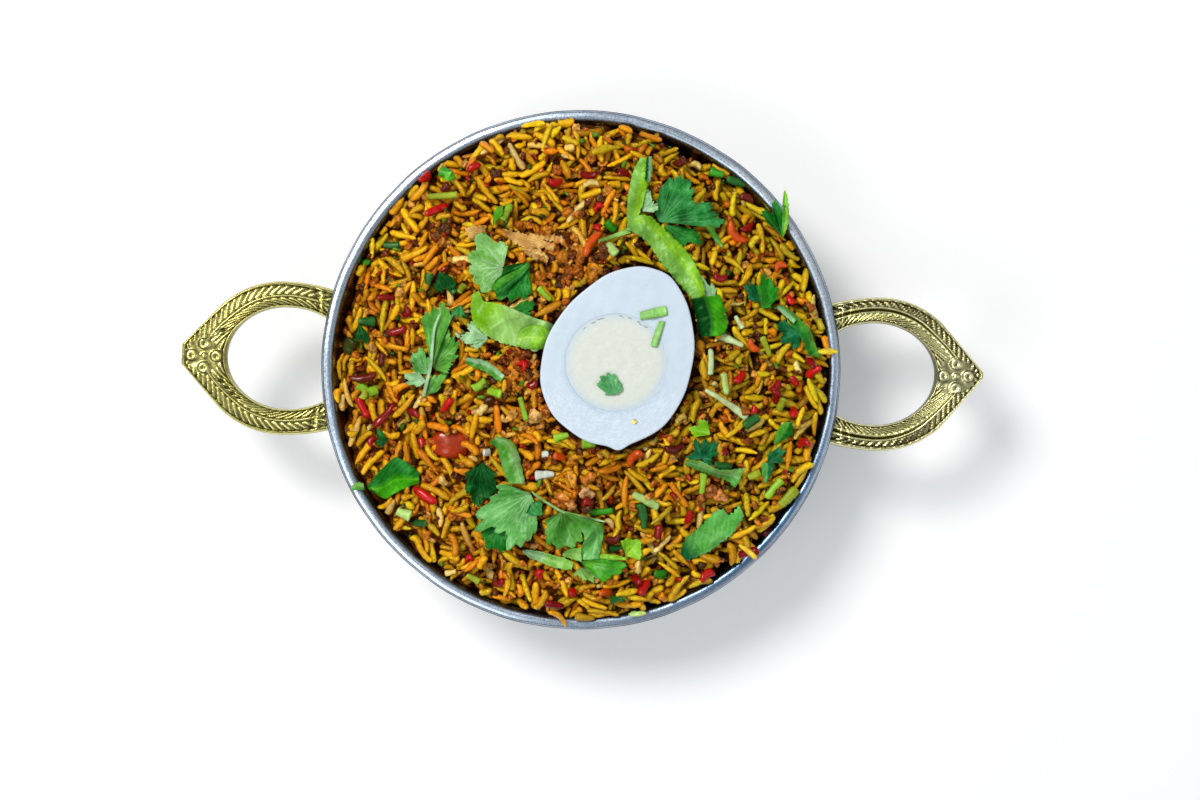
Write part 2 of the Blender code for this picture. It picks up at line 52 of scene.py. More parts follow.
# The bowl and the egg, as in the CAD
RIM_RADIUS = 80.0
RIM_HEIGHT = 55.0
BASE_RADIUS = 38.0
CORNER_RADIUS = 31.3
WALL_LEAN = math.radians(17.0)
WALL = 1.0
NECK_HEIGHT = 51.2
BEAD_RADIUS = 1.4
EGG_CENTRE = (12.2, 4.2)
EGG_TOP = 71.5
EGG_LENGTH = 55.4
EGG_WIDTH = 43.8
EGG_TURN = math.radians(246.0)
EGG_TAPER = 0.14
YOLK_CENTRE = (10.6, 1.9)
YOLK_RADII = (15.0, 14.4, 13.0)

# The field of heights that everything in the heap comes to rest on
CELL = 0.4
HALF = 84.0
SIZE = int(2 * HALF / CELL) + 1
CORE_DEPTH = 5.0  # the plain core lies this far below the surface of the heap
FILL_RADIUS = 78.0  # the heap is filled out to here
CRUMB_RADIUS = 74.0  # crumbs and flecks start within this
LIP_HEIGHT = 52.0  # from here up, the lip is narrower than the wall would be
LIP_RADIUS = 76.3

# Grains of rice, and how they are strewn
LONG_GRAINS = (5.8, 10.4)  # least and greatest length
SHORT_GRAINS = (3.2, 5.8)
SHORT_SHARE = 0.34
GRAIN_HALF_WIDTHS = (0.78, 1.2)
GRAIN_FLATNESS = 0.86  # thickness as a share of width
GRAIN_SHADES = (0.55, 1.08)  # darkest and brightest, as a share of the colour
GRAIN_TRIES = 7  # places tried for each grain
GRAIN_SCATTER = 1.2  # how far they lie from the wanted place
GRAIN_SWING = 0.9  # how far a grain turns from the flow of its neighbours, in radians
FIRST_GRAINS = 3500  # at most this many, until the heap is full
LAST_GRAINS = 230  # strewn over the chilli and stalks
FLECK_COUNT = 480


# Small helpers

def clamp(value):
    """The value, held between 0 and 1."""
    return np.clip(value, 0.0, 1.0)


def bell(value):
    """1 at 0, falling away smoothly on both sides."""
    return np.exp(-(value**2))


def bulge(value):
    """Height of a half round: 1 at 0, and 0 from 1 outwards."""
    return np.sqrt(clamp(1.0 - value**2))


def circle(count):
    """Even steps round a full turn."""
    return 2 * np.pi * np.arange(count) / count


def turned(x, y, angle):
    """Coordinates turned by one angle about the origin."""
    c, s = math.cos(angle), math.sin(angle)
    return x * c - y * s, x * s + y * c


def ripple(dice, x, y, low, high):
    """A straight wave over the places, at a random angle and with a random pitch between low and high."""
    turn, pitch = dice.uniform(0, ANY_START), dice.uniform(low, high)
    return np.sin(pitch * (x * math.cos(turn) + y * math.sin(turn)) + dice.uniform(0, ANY_START))


# Colour and materials

def linear(colour):
    """Linear values of an sRGB colour given as 0 to 255."""
    share = np.asarray(colour, float) / 255.0
    return np.where(share <= 0.04045, share / 12.92, ((share + 0.055) / 1.055) ** 2.4)


def new_node(tree, kind, **settings):
    """A shader node with its inputs or properties set by name."""
    node = tree.nodes.new(kind)
    for name, value in settings.items():
        if name in node.inputs:
            node.inputs[name].default_value = value
        else:
            setattr(node, name, value)
    return node


def finish(
    name, colour=None, vary=0.2, scale=500.0, rough=0.4, rough_vary=0.1, bump=0.2, bump_scale=2500.0,
    depth=0.2, metallic=0.0, specular=0.5, coat=0.0, coat_rough=0.15, subsurface=0.0, radius=1.0,
    blotch=None, blotch_scale=90.0, blotch_most=1.0, gloss=None,
):
    """A material whose colour, roughness and relief vary with noise. Without a colour it takes the tint."""
    made = bpy.data.materials.new(name)
    made.use_nodes = True
    tree = made.node_tree
    link = tree.links.new
    shader = tree.nodes["Principled BSDF"]
    place = new_node(tree, "ShaderNodeTexCoord").outputs["Object"]

    def noise(size, detail=3.0):
        node = new_node(tree, "ShaderNodeTexNoise", Scale=size, Detail=detail, Roughness=0.6)
        link(place, node.inputs["Vector"])
        return node.outputs["Fac"]

    def spread(source, low, high):
        """The middle of the noise's range, stretched from low to high."""
        node = new_node(tree, "ShaderNodeMapRange")
        for name, value in (("From Min", 0.3), ("From Max", 0.7), ("To Min", low), ("To Max", high)):
            node.inputs[name].default_value = value
        link(source, node.inputs["Value"])
        return node.outputs["Result"]

    if colour is None:
        source = new_node(tree, "ShaderNodeAttribute", attribute_name="tint").outputs["Color"]
    else:
        source = new_node(tree, "ShaderNodeRGB").outputs["Color"]
        source.default_value = (*linear(colour), 1.0)
    if blotch is not None:
        mix = new_node(tree, "ShaderNodeMix", data_type="RGBA")
        link(spread(noise(blotch_scale), 0.0, blotch_most), mix.inputs["Factor"])
        link(source, mix.inputs["A"])
        mix.inputs["B"].default_value = (*linear(blotch), 1.0)
        source = mix.outputs["Result"]
    grade = new_node(tree, "ShaderNodeHueSaturation")
    link(source, grade.inputs["Color"])
    link(spread(noise(scale), 1.0 - vary, 1.0 + vary), grade.inputs["Value"])
    link(grade.outputs["Color"], shader.inputs["Base Color"])
    dullness = spread(noise(scale * 1.7), max(0.03, rough - rough_vary), rough + rough_vary)
    link(dullness, shader.inputs["Roughness"])
    relief = new_node(tree, "ShaderNodeBump", Strength=bump, Distance=depth * MM)
    link(noise(bump_scale, 4.0), relief.inputs["Height"])
    link(relief.outputs["Normal"], shader.inputs["Normal"])
    settings = {
        "Metallic": metallic, "Specular IOR Level": specular,
        "Coat Weight": coat, "Coat Roughness": coat_rough,
    }
    if gloss is not None:
        settings["Specular Tint"] = (*linear(gloss), 1.0)
    if subsurface:
        settings["Subsurface Weight"] = subsurface
        settings["Subsurface Radius"] = (1.0, 0.7, 0.5)
        settings["Subsurface Scale"] = radius * MM
    for socket, value in settings.items():
        shader.inputs[socket].default_value = value
    return made


# Meshes

def make_piece(name, shape, material, replaces=()):
    """A piece from its points in mm, faces and tints, riding on the one body."""
    points, faces, tints = shape
    mesh = bpy.data.meshes.new(name)
    mesh.from_pydata((np.asarray(points, float) * MM).tolist(), [], faces)
    mesh.validate()
    layer = mesh.color_attributes.new("tint", "FLOAT_COLOR", "POINT")
    full = np.ones((len(points), 4), np.float32)
    full[:, :3] = tints
    layer.data.foreach_set("color", full.ravel())
    mesh.shade_smooth()
    mesh.materials.append(material)
    piece = bpy.data.objects.new(name, mesh)
    bpy.context.scene.collection.objects.link(piece)
    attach(piece, "root")
    if replaces:
        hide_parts(*replaces)


def lattice(rows, columns, closed=False):
    """Faces of a grid of points, its columns joined up if it is closed."""
    faces = []
    for i in range(rows - 1):
        for j in range(columns if closed else columns - 1):
            k = (j + 1) % columns
            faces.append((i * columns + j, i * columns + k, (i + 1) * columns + k, (i + 1) * columns + j))
    return faces


def capped_lattice(rows, columns):
    """Faces of closed rings, ending in one point below the first ring and one above the last."""
    faces = lattice(rows, columns, closed=True)
    low = rows * columns
    for j in range(columns):
        k = (j + 1) % columns
        faces.append((low, k, j))
        faces.append((low + 1, low - columns + j, low - columns + k))
    return faces


def shifted(faces, base):
    """The same faces for points that start at a later number."""
    return [tuple(base + k for k in face) for face in faces]


def ring_at(x, y, height):
    """Points of one ring, at one height or a height each."""
    return np.stack([x, y, height + np.zeros_like(x)], axis=1)


def spun(points, angle):
    """Points turned about the bowl's axis."""
    return np.stack([*turned(points[:, 0], points[:, 1], angle), points[:, 2]], axis=1)


def revolve(rows, low, high):
    """Points and faces of closed rings between two poles."""
    points = np.concatenate([*rows, np.array([low, high], float)])
    return points, capped_lattice(len(rows), len(rows[0]))


# The field

def cell_of(value):
    """Number of the cell that a coordinate lies in."""
    return np.clip(np.rint((np.asarray(value) + HALF) / CELL).astype(int), 0, SIZE - 1)


X, Y = np.meshgrid(np.arange(SIZE) * CELL - HALF, np.arange(SIZE) * CELL - HALF)
R = np.hypot(X, Y)


def wall_radius(height, inset=0.0):
    """Radius of the bowl's outer wall at a height, or of a surface set in from it along its normal."""
    radius = CORNER_RADIUS - inset
    corner_top = CORNER_RADIUS - radius * math.sin(WALL_LEAN)
    height = np.asarray(height, float)
    rise = clamp((CORNER_RADIUS - height) / radius)
    low = BASE_RADIUS + radius * np.sqrt(1.0 - rise * rise)
    high = BASE_RADIUS + radius * math.cos(WALL_LEAN) + (height - corner_top) * math.tan(WALL_LEAN)
    return np.where(height < corner_top, low, high)


def egg_local(x, y):
    """Coordinates along and across the egg."""
    return turned(np.asarray(x) - EGG_CENTRE[0], np.asarray(y) - EGG_CENTRE[1], -EGG_TURN)


def in_egg(x, y, grow=0.0):
    """Whether a place lies within the egg's outline, grown by a margin."""
    along, across = egg_local(x, y)
    share = np.clip(along / (EGG_LENGTH / 2 + grow), -1.0, 1.0)
    half = (EGG_WIDTH / 2 + grow) * np.sqrt(1.0 - share * share) * (1.0 + EGG_TAPER * share)
    return np.abs(across) < half


def patch(x, y, reach):
    """The cells round a place, and how far they are from it along X and Y."""
    part = tuple(slice(cell_of(middle - reach), cell_of(middle + reach) + 1) for middle in (y, x))
    return part, X[part] - x, Y[part] - y


def heap_surface():
    """Height of the CAD heap over each cell."""
    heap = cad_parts["rice_heap"]
    tree = BVHTree.FromPolygons(
        [v.co[:] for v in heap.data.vertices], [p.vertices[:] for p in heap.data.polygons]
    )
    surface = np.full((SIZE, SIZE), np.nan)
    down = Vector((0.0, 0.0, -1.0))
    for i in range(SIZE):
        for j in range(SIZE):
            if R[i, j] > RIM_RADIUS:
                continue
            hit = tree.ray_cast(Vector((X[i, j] * MM, Y[i, j] * MM, 0.2)), down)[0]
            if hit is not None:
                surface[i, j] = hit.z / MM
    return surface


def wave_field(count, reach, seed):
    """Smooth random values over the field, about 1 either way, with lumps of about the given reach."""
    dice = np.random.default_rng(seed)
    total = np.zeros((SIZE, SIZE))
    for _ in range(count):
        turn = dice.uniform(0, 2 * math.pi)
        pitch = 2 * math.pi / (reach * dice.uniform(1.4, 3.2))
        total += np.sin(pitch * (X * math.cos(turn) + Y * math.sin(turn)) + dice.uniform(0, 2 * math.pi))
    return total / math.sqrt(count / 2)


def widened(values, reach):
    """The highest value within a reach of each cell."""
    steps = int(reach / CELL)
    result = values.copy()
    for i in range(-steps, steps + 1):
        for j in range(-steps, steps + 1):
            if 0 < i * i + j * j <= steps * steps:
                result = np.maximum(result, np.roll(np.roll(values, i, 0), j, 1))
    return result


def blurred(values, reach):
    """The values, smoothed over a reach."""
    steps = max(1, int(2 * reach / CELL))
    weights = np.exp(-0.5 * (np.arange(-steps, steps + 1) * CELL / reach) ** 2)
    weights /= weights.sum()
    for axis in (0, 1):
        values = sum(w * np.roll(values, k, axis) for w, k in zip(weights, range(-steps, steps + 1)))
    return values


def around(azimuth, middle, spread):
    """1 at an azimuth in degrees and 0 well away from it."""
    off = (azimuth - math.radians(middle) + math.pi) % (2 * math.pi) - math.pi
    return bell(off / math.radians(spread))


SURFACE = heap_surface()
SURFACE = np.where(np.isnan(SURFACE), RIM_HEIGHT - 6.0, SURFACE)
EGG_MASK = in_egg(X, Y, 0.3)
# Under the egg the surface is carried on from beside it.
SMOOTH_CROWN = blurred(np.where(EGG_MASK, 65.0, SURFACE), 3.0)
SURFACE = np.where(in_egg(X, Y, 1.2), SMOOTH_CROWN, SURFACE)
# The rice rises towards the rim, but for three hollows.
AZIMUTH = np.arctan2(Y, X)
HOLLOWS = clamp(around(AZIMUTH, 42, 24) + around(AZIMUTH, 170, 32) + 0.6 * around(AZIMUTH, 242, 20))
EDGE_RISE = 5.2 * clamp((R - 64.0) / 9.0) * (1.0 - HOLLOWS)
CLUMPS = 1.2 * wave_field(14, 5.0, 3) + 0.7 * wave_field(12, 2.6, 4)
TARGET = SURFACE + EDGE_RISE + CLUMPS - 0.4
CORE = SURFACE - CORE_DEPTH + 0.5 * wave_field(10, 3.0, 5)
field = np.where(R < FILL_RADIUS, CORE, 0.0)
# The core keeps clear of the underside of the egg.
ALONG, ACROSS_EGG = egg_local(X, Y)
EGG_SHARE = (ALONG / (EGG_LENGTH / 2 + 1.0)) ** 2
EGG_SHARE += (ACROSS_EGG / ((EGG_WIDTH / 2 + 1.0) * (1.0 + EGG_TAPER * ALONG / (EGG_LENGTH / 2)))) ** 2
EGG_LOW = EGG_TOP - 1.4 - 0.5 * EGG_WIDTH * np.sqrt(clamp(1.0 - EGG_SHARE))
CORE = np.where(EGG_SHARE < 1.0, np.minimum(CORE, EGG_LOW), CORE)
# Which way the grains lie, as the two parts of a vector
FLOW_A, FLOW_B = wave_field(10, 11.0, 6), wave_field(10, 11.0, 7)


# Things that come to rest in the heap

# Where a bar feels for the field, along its length and across it
STEPS = np.linspace(-1.0, 1.0, 9)
ACROSS = np.array([-0.7, 0.0, 0.7])


def fullness(share, blunt):
    """Half width along a grain as a share of the largest."""
    return np.sqrt(clamp(1.0 - np.abs(share) ** blunt))


def settle(x, y, yaw, length, half_width):
    """How high, and at what slope, bars at these places come to rest on the field."""
    along = 0.46 * length[:, None, None] * STEPS[None, :, None]
    across = half_width[:, None, None] * ACROSS[None, None, :]
    c, s = np.cos(yaw)[:, None, None], np.sin(yaw)[:, None, None]
    px = x[:, None, None] + along * c - across * s
    py = y[:, None, None] + along * s + across * c
    heights = field[cell_of(py), cell_of(px)].max(axis=2)
    u = along[:, :, 0]
    near_u, far_u = u[:, :4, None], u[:, None, 5:]
    near_h, far_h = heights[:, :4, None], heights[:, None, 5:]
    slopes = ((far_h - near_h) / (far_u - near_u)).reshape(len(x), -1)
    levels = (near_h - near_u * (far_h - near_h) / (far_u - near_u)).reshape(len(x), -1)
    best = levels.argmax(axis=1)
    rows = np.arange(len(x))
    level, slope = levels[rows, best], slopes[rows, best]
    middle = heights[:, 4]
    slope = np.where(middle > level, 0.5 * slope, slope)
    clear = (heights - slope[:, None] * u).max(axis=1)
    return np.maximum(np.maximum(level, middle), clear), slope, px, py


def stamp(x, y, yaw, length, half_width, half_thick, level, slope, blunt):
    """Raises the field under a bar that has come to rest."""
    part, dx, dy = patch(x, y, 0.5 * length + 1.5)
    u, v = turned(dx, dy, -yaw)
    full = fullness(u / (0.5 * length), blunt)
    with np.errstate(divide="ignore", invalid="ignore"):
        share = np.where(full > 0, v / (half_width * full), 2.0)
    top = level + slope * u + half_thick * (1.0 + full * bulge(share))
    under = (np.abs(u) < 0.5 * length) & (np.abs(share) < 1.0)
    field[part] = np.where(under, np.maximum(field[part], top), field[part])


# Kind: list of (x, y, z, yaw, slope, length, half width, half thickness, bend, roll, bluntness, colour)
BARS = {}


def lay_bar(kind, x, y, yaw, length, half_width, half_thick, colour, bend=0.0, roll=0.0, blunt=2.6, sink=0.0):
    """Puts one bar at a chosen place, at rest on what is there."""
    one = [np.array([value], float) for value in (x, y, yaw, length, half_width)]
    level, slope, _, _ = settle(*one)
    level, slope = float(level[0]) - sink, float(np.clip(slope[0], -0.9, 0.9))
    stamp(x, y, yaw, length, half_width, half_thick, level, slope, blunt)
    z = level + half_thick
    BARS.setdefault(kind, []).append(
        (x, y, z, yaw, slope, length, half_width, half_thick, bend, roll, blunt, *colour)
    )


def allowed(px, py, level, slope, length, yaw, x, y):
    """Which resting places are clear of the wall and the egg."""
    ends = []
    for sign in (-1, 1):
        ex, ey = x + sign * 0.5 * length * np.cos(yaw), y + sign * 0.5 * length * np.sin(yaw)
        height = level + sign * 0.5 * length * slope
        inner = wall_radius(np.minimum(height, LIP_HEIGHT), WALL) - 0.3
        free = np.where(height > LIP_HEIGHT, LIP_RADIUS, inner)
        ends.append(np.hypot(ex, ey) < free)
    near_egg = in_egg(px, py, 0.9).any(axis=(1, 2))
    return ends[0] & ends[1] & ~near_egg


RICE_ZONES = [  # place, then the colour of well lit rice there
    ((-55, 15), (226, 166, 6)),
    ((-50, -30), (220, 158, 12)),
    ((-20, -60), (222, 158, 14)),
    ((30, -62), (222, 180, 22)),
    ((62, -35), (212, 186, 20)),
    ((66, 15), (198, 182, 16)),
    ((45, 52), (212, 180, 14)),
    ((0, 64), (234, 176, 8)),
    ((-42, 48), (236, 176, 8)),
    ((-15, -30), (212, 138, 10)),
]
ACCENTS = [  # chance, colour, and how much of the grain's colour it makes up
    (0.18, (228, 112, 4), 0.8),
    (0.15, (214, 204, 22), 0.7),
    (0.06, (240, 226, 150), 0.8),
    (0.08, (156, 86, 12), 0.8),
    (0.04, (196, 58, 6), 0.8),
    (0.06, (150, 152, 30), 0.7),
    (0.43, (244, 194, 14), 0.5),
]
# Colour that grains deep in the heap take on: painted shade, partly also sauce.
SAUCE_AND_SHADE = (92, 44, 6)


def rice_colour(x, y):
    """Colour of one grain: that of its zone, with a share of an accent."""
    weights = np.array([1.0 / (30.0 + (x - zx) ** 2 + (y - zy) ** 2) ** 1.5 for (zx, zy), _ in RICE_ZONES])
    weights /= weights.sum()
    base = sum(w * linear(colour) for w, (_, colour) in zip(weights, RICE_ZONES))
    chances = np.array([chance for chance, _, _ in ACCENTS])
    _, accent, share = ACCENTS[RNG.choice(len(ACCENTS), p=chances / chances.sum())]
    share *= RNG.uniform(0.3, 1.0)
    mixed = (1.0 - share) * base + share * linear(accent)
    return mixed * RNG.uniform(*GRAIN_SHADES)


CRUMBLE = [  # places of browned crumbs of meat and onion: x, y, reach, strength
    (-5, 33, 11, 0.93),
    (3, 28, 7, 0.9),
    (-20, 2, 8, 0.75),
    (-12, -11, 7, 0.75),
    (-30, 4, 5, 0.4),
    (41, -34, 4, 0.7),
    (-2, -26, 6, 0.4),
    (-1, -37, 6, 0.6),
    (-43, 41, 4, 0.8),
    (8, 50, 6, 0.35),
    (44, -44, 4, 0.5),
    (34, -40, 4, 0.5),
    (20, -38, 6, 0.3),
    (38, -12, 5, 0.4),
    (-20, -30, 4, 0.4),
    (0, 0, 400, 0.06),
]


def crumble_share(x, y):
    """How likely a crumb lies at a place, and not a grain."""
    return max(
        strength * math.exp(-((x - cx) ** 2 + (y - cy) ** 2) / (reach * reach))
        for cx, cy, reach, strength in CRUMBLE
    )


LUMPS = []  # x, y, z, three radii, yaw, colour
SMALL_LUMP = 1.2  # lumps up to this radius get fewer faces
CRUMB_COLOURS = [
    (206, 124, 24), (182, 92, 14), (156, 76, 10), (222, 156, 66), (196, 108, 22), (112, 44, 8), (70, 24, 8),
]


def drop_lump(x, y, radius, colour):
    """Presses a rough lump into the surface, where most of it finds hold."""
    part, dx, dy = patch(x, y, 0.8 * radius)
    flat = np.hypot(dx, dy) / radius
    dome = radius * 0.7 * bulge(flat)
    z = float(np.percentile(field[part] + dome, 80)) - 0.25 * radius
    field[part] = np.where(flat < 1.0, np.maximum(field[part], z + dome), field[part])
    across = radius * RNG.uniform(0.65, 1.0)
    LUMPS.append((x, y, z, radius, across, 0.7 * radius, RNG.uniform(0, math.pi), *colour))


def drop_grain(px, py, flow, lengths, slack):
    """Tries a few places near a point and lays one grain at the one where it lies lowest."""
    x = px + RNG.normal(0.0, GRAIN_SCATTER, GRAIN_TRIES)
    y = py + RNG.normal(0.0, GRAIN_SCATTER, GRAIN_TRIES)
    yaw = flow + RNG.normal(0.0, GRAIN_SWING, GRAIN_TRIES)
    length = np.full(GRAIN_TRIES, RNG.uniform(*lengths))
    half_width = np.full(GRAIN_TRIES, RNG.uniform(*GRAIN_HALF_WIDTHS))
    half_thick = GRAIN_FLATNESS * half_width[0]
    level, slope, gx, gy = settle(x, y, yaw, length, half_width)
    good = allowed(gx, gy, level, slope, length, yaw, x, y) & (np.abs(slope) < RNG.uniform(0.35, 0.9))
    good &= level < TARGET[cell_of(y), cell_of(x)] + slack
    if not good.any():
        return False
    k = int(np.where(good, level + 0.8 * np.abs(slope), 1e9).argmin())
    # Painted shade, partly also sauce it has taken up: the deeper it lies, the darker and browner it is.
    shade_and_soak = float(np.clip(0.3 * (TARGET[cell_of(y[k]), cell_of(x[k])] - level[k]) - 0.15, 0.0, 0.75))
    colour = rice_colour(x[k], y[k]) * (1.0 - shade_and_soak) + shade_and_soak * linear(SAUCE_AND_SHADE)
    blunt = RNG.uniform(1.9, 4.2) if RNG.random() < 0.6 else RNG.uniform(4.2, 10.0)
    stamp(x[k], y[k], yaw[k], length[k], half_width[k], half_thick, level[k], slope[k], blunt)
    BARS.setdefault("rice", []).append((
        x[k], y[k], level[k] + half_thick, yaw[k], slope[k] + RNG.normal(0.0, 0.07), length[k], half_width[k],
        half_thick, RNG.normal(0.0, 0.5), RNG.uniform(-0.5, 0.5), blunt, *colour,
    ))
    return True


def fill_heap(most, slack):
    """Drops grains and crumbs where the field is furthest below the target, until few find a place."""
    made, tried = 0, 0
    fresh = np.ones(SIZE * SIZE)  # falls where a grain found no hold
    while made < most and tried < 4 * most:
        missing = np.clip(TARGET - field, 0.0, 4.0)
        missing[(R > FILL_RADIUS) | EGG_MASK] = 0.0
        chance = missing.ravel() ** 1.5 * fresh
        places = RNG.choice(SIZE * SIZE, size=100, p=chance / chance.sum())
        for place in places:
            tried += 1
            px, py = X.flat[place], Y.flat[place]
            if RNG.random() < crumble_share(px, py):
                radius = RNG.uniform(0.6, 1.5) * (1.0 + 0.5 * crumble_share(px, py))
                if in_egg(px, py, radius) or math.hypot(px, py) > CRUMB_RADIUS:
                    continue
                colour = linear(CRUMB_COLOURS[RNG.integers(len(CRUMB_COLOURS))]) * RNG.uniform(0.7, 1.1)
                drop_lump(px, py, radius, colour)
                made += 0.3
                continue
            flow = math.atan2(FLOW_B.flat[place], FLOW_A.flat[place])
            lengths = SHORT_GRAINS if RNG.random() < SHORT_SHARE else LONG_GRAINS
            if drop_grain(px, py, flow, lengths, slack):
                made += 1
            else:
                fresh[place] = 0.1


# Pieces laid one by one: x, y, heading in degrees, length, width, and what they are
REDS = [
    (-47.7, 58.7, 45, 5.3, 2.8, "red"), (-43.9, 48.7, 25, 8.2, 2.2, "red"),
    (-59.7, 22.1, 0, 5.8, 1.9, "dark"), (-55.9, 11.7, 15, 6.3, 2.3, "dark"),
    (-52.8, 17.4, 75, 4.0, 2.2, "dark"), (-7.5, 56.7, 8, 5.5, 2.3, "red"),
    (-32.4, 61.6, 25, 4.6, 2.3, "red"), (-66.4, -2.4, 8, 8.8, 2.5, "maroon"),
    (-17.4, 1.1, -40, 3.6, 2.4, "red"), (3.3, 37.8, 57, 9.3, 2.6, "orange"),
    (5.4, 49.3, 30, 3.5, 2.4, "red"), (5.4, 42.9, 70, 2.8, 2.2, "red"), (2.5, 59.3, -5, 6.0, 2.4, "dark"),
    (13.0, 59.9, 0, 4.5, 2.4, "dark"), (47.6, 41.6, -46, 8.9, 3.0, "orange"),
    (51.5, 44.0, 32, 5.5, 2.4, "dark"), (61.4, 32.0, 20, 4.2, 2.4, "orange"),
    (42.4, 27.8, -5, 4.6, 2.2, "dark"), (64.4, 21.7, -60, 4.0, 2.2, "red"),
    (52.3, 7.0, -50, 5.0, 2.2, "orange"), (48.2, -2.4, 45, 5.6, 2.6, "red"),
    (71.0, -0.6, 35, 5.6, 2.4, "red"), (70.0, 2.0, -60, 4.6, 2.4, "dark"),
    (59.4, -5.3, 60, 4.6, 2.6, "dark"), (65.2, -3.5, -50, 3.6, 2.3, "red"),
    (51.2, 53.0, -20, 5.0, 2.6, "maroon"), (59.6, -8.4, -75, 6.0, 3.0, "dark"),
    (64.7, -12.9, 80, 4.5, 2.4, "red"), (52.3, -12.6, 60, 3.6, 2.4, "red"),
    (68.0, -22.5, 10, 4.5, 2.5, "red"), (43.5, -25.2, 0, 3.0, 2.0, "dark"),
    (16.2, -26.6, 45, 6.2, 3.0, "orange"), (28.3, -23.9, 10, 6.5, 2.6, "maroon"),
    (1.9, -40.2, 0, 3.2, 2.6, "dark"), (32.9, -44.9, 75, 5.2, 2.2, "red"),
    (23.6, -49.2, 80, 4.6, 2.6, "dark"), (10.1, -51.3, 20, 5.0, 2.6, "maroon"),
    (51.0, -55.6, 15, 7.0, 3.0, "dark"), (57.6, -49.8, 10, 5.0, 3.0, "maroon"),
    (38.4, -62.8, 38, 5.4, 2.7, "red"), (19.4, -66.4, 55, 6.0, 2.6, "red"),
    (17.1, -64.2, -40, 4.6, 2.4, "dark"), (7.5, -68.2, 5, 5.0, 2.5, "orange"),
    (-2.5, -68.0, 40, 3.2, 2.4, "red"), (-66.7, -11.7, -62, 7.8, 2.5, "red"),
    (-59.7, -14.0, 48, 10.0, 2.3, "dark"), (-50.6, -13.2, -30, 4.4, 2.2, "dark"),
    (-40.1, -10.8, 52, 5.6, 2.4, "red"), (-47.4, -38.4, -32, 8.8, 2.6, "red"),
    (-48.3, -22.3, -80, 3.2, 2.2, "red"), (-34.2, -57.8, 20, 2.8, 2.2, "red"),
    (-12.5, -62.2, 70, 3.2, 2.8, "red"), (-25.1, -65.1, 20, 4.8, 2.4, "dark"),
    (-7.9, -71.6, -15, 7.0, 2.2, "dark"), (-6.3, -26.4, -10, 5.0, 2.4, "orange"),
    (-14.3, -4.7, 30, 3.4, 2.4, "dark"), (-41.0, 55.0, 40, 4.0, 2.6, "maroon"),
    (-60.5, 3.0, 80, 4.0, 2.2, "maroon"), (30.0, 63.0, 15, 4.6, 2.4, "maroon"),
    (-24.0, -44.0, 30, 3.4, 2.2, "dark"), (20.0, 52.0, -30, 3.6, 2.2, "maroon"),
    (-64.0, -22.0, 60, 3.6, 2.2, "dark"), (36.0, -52.0, 60, 4.0, 2.4, "maroon"),
]
GREENS = [
    (-10.8, 22.5, -45, 5.6, 1.7, "lime"), (-17.1, -11.9, -75, 7.3, 1.7, "lime"),
    (45.4, 8.8, -23, 8.8, 2.1, "pale"), (39.2, 2.2, 88, 8.2, 1.8, "pale"),
    (44.1, -10.4, -33, 16.4, 2.0, "pale"), (43.6, -4.4, -82, 6.6, 2.0, "mint"),
    (48.1, 14.3, -60, 4.6, 1.6, "pale"), (-28.4, -25.2, 5, 2.6, 2.3, "white"),
    (-10.8, -31.8, 5, 6.0, 2.5, "white"), (-10.5, -25.6, 0, 2.4, 2.0, "white"),
    (9.2, 43.5, -45, 4.2, 2.6, "green"), (9.3, 35.8, -50, 4.8, 2.8, "mint"),
    (41.8, 60.4, -20, 4.6, 2.5, "green"), (47.9, 58.0, -15, 6.4, 2.5, "deep"),
    (-40.9, 59.5, -20, 4.2, 3.0, "green"), (-42.1, 52.8, 2, 10.2, 2.0, "olive"),
    (-58.0, 38.1, 0, 5.0, 2.3, "deep"), (-67.0, 33.3, -3, 5.4, 2.0, "green"),
    (-65.8, 14.9, 0, 5.4, 2.7, "deep"), (-66.8, -5.6, -30, 3.6, 2.6, "lime"),
    (-63.8, -6.6, 20, 4.0, 2.8, "lime"), (-66.0, -7.6, 70, 3.0, 2.2, "olive"),
    (-71.0, 7.4, 60, 5.0, 4.4, "moss"), (-36.4, 10.8, 40, 3.2, 2.0, "pale"),
    (-33.4, 8.0, -30, 3.6, 1.8, "mint"), (-42.8, 25.6, 30, 4.6, 3.0, "deep"),
    (-39.0, 24.2, -50, 3.6, 2.6, "deep"), (-46.0, 27.4, 80, 3.4, 2.4, "deep"),
    (-22.3, 47.5, 68, 7.6, 2.2, "lime"), (51.5, -15.7, 35, 5.6, 2.9, "deep"),
    (42.9, -29.2, -5, 6.0, 2.6, "deep"), (52.9, -32.2, 20, 4.2, 2.4, "olive"),
    (58.8, -36.3, 50, 7.4, 2.5, "lime"), (63.4, -38.9, 45, 7.5, 3.0, "olive"),
    (24.2, -62.7, -10, 4.6, 2.8, "green"), (-53.9, -44.0, -20, 4.7, 3.0, "mint"),
    (-49.2, -47.0, 0, 6.0, 2.1, "deep"), (-30.4, -4.7, 35, 5.0, 2.5, "lime"),
    (-25.7, -7.0, -15, 5.4, 2.6, "lime"), (-5.7, -20.2, 15, 4.6, 2.3, "lime"),
    (2.5, -22.2, 0, 4.4, 3.0, "lime"), (11.0, -54.4, 10, 5.0, 1.8, "deep"),
    (6.2, -43.0, 5, 7.4, 2.0, "green"), (19.7, -39.7, -28, 9.2, 2.4, "mint"),
    (18.8, -44.4, -80, 8.0, 2.6, "deep"), (36.9, -34.5, 85, 6.6, 2.0, "lime"),
    (56.6, 7.0, -65, 7.0, 1.8, "olive"), (-36.0, 24.5, 60, 4.0, 2.0, "olive"),
    (33.0, 48.0, -70, 4.0, 2.0, "deep"), (61.0, -10.6, 70, 5.0, 2.2, "olive"),
    (11.0, -70.0, 15, 5.0, 2.2, "deep"), (-33.0, -64.0, -30, 4.6, 2.0, "olive"),
]
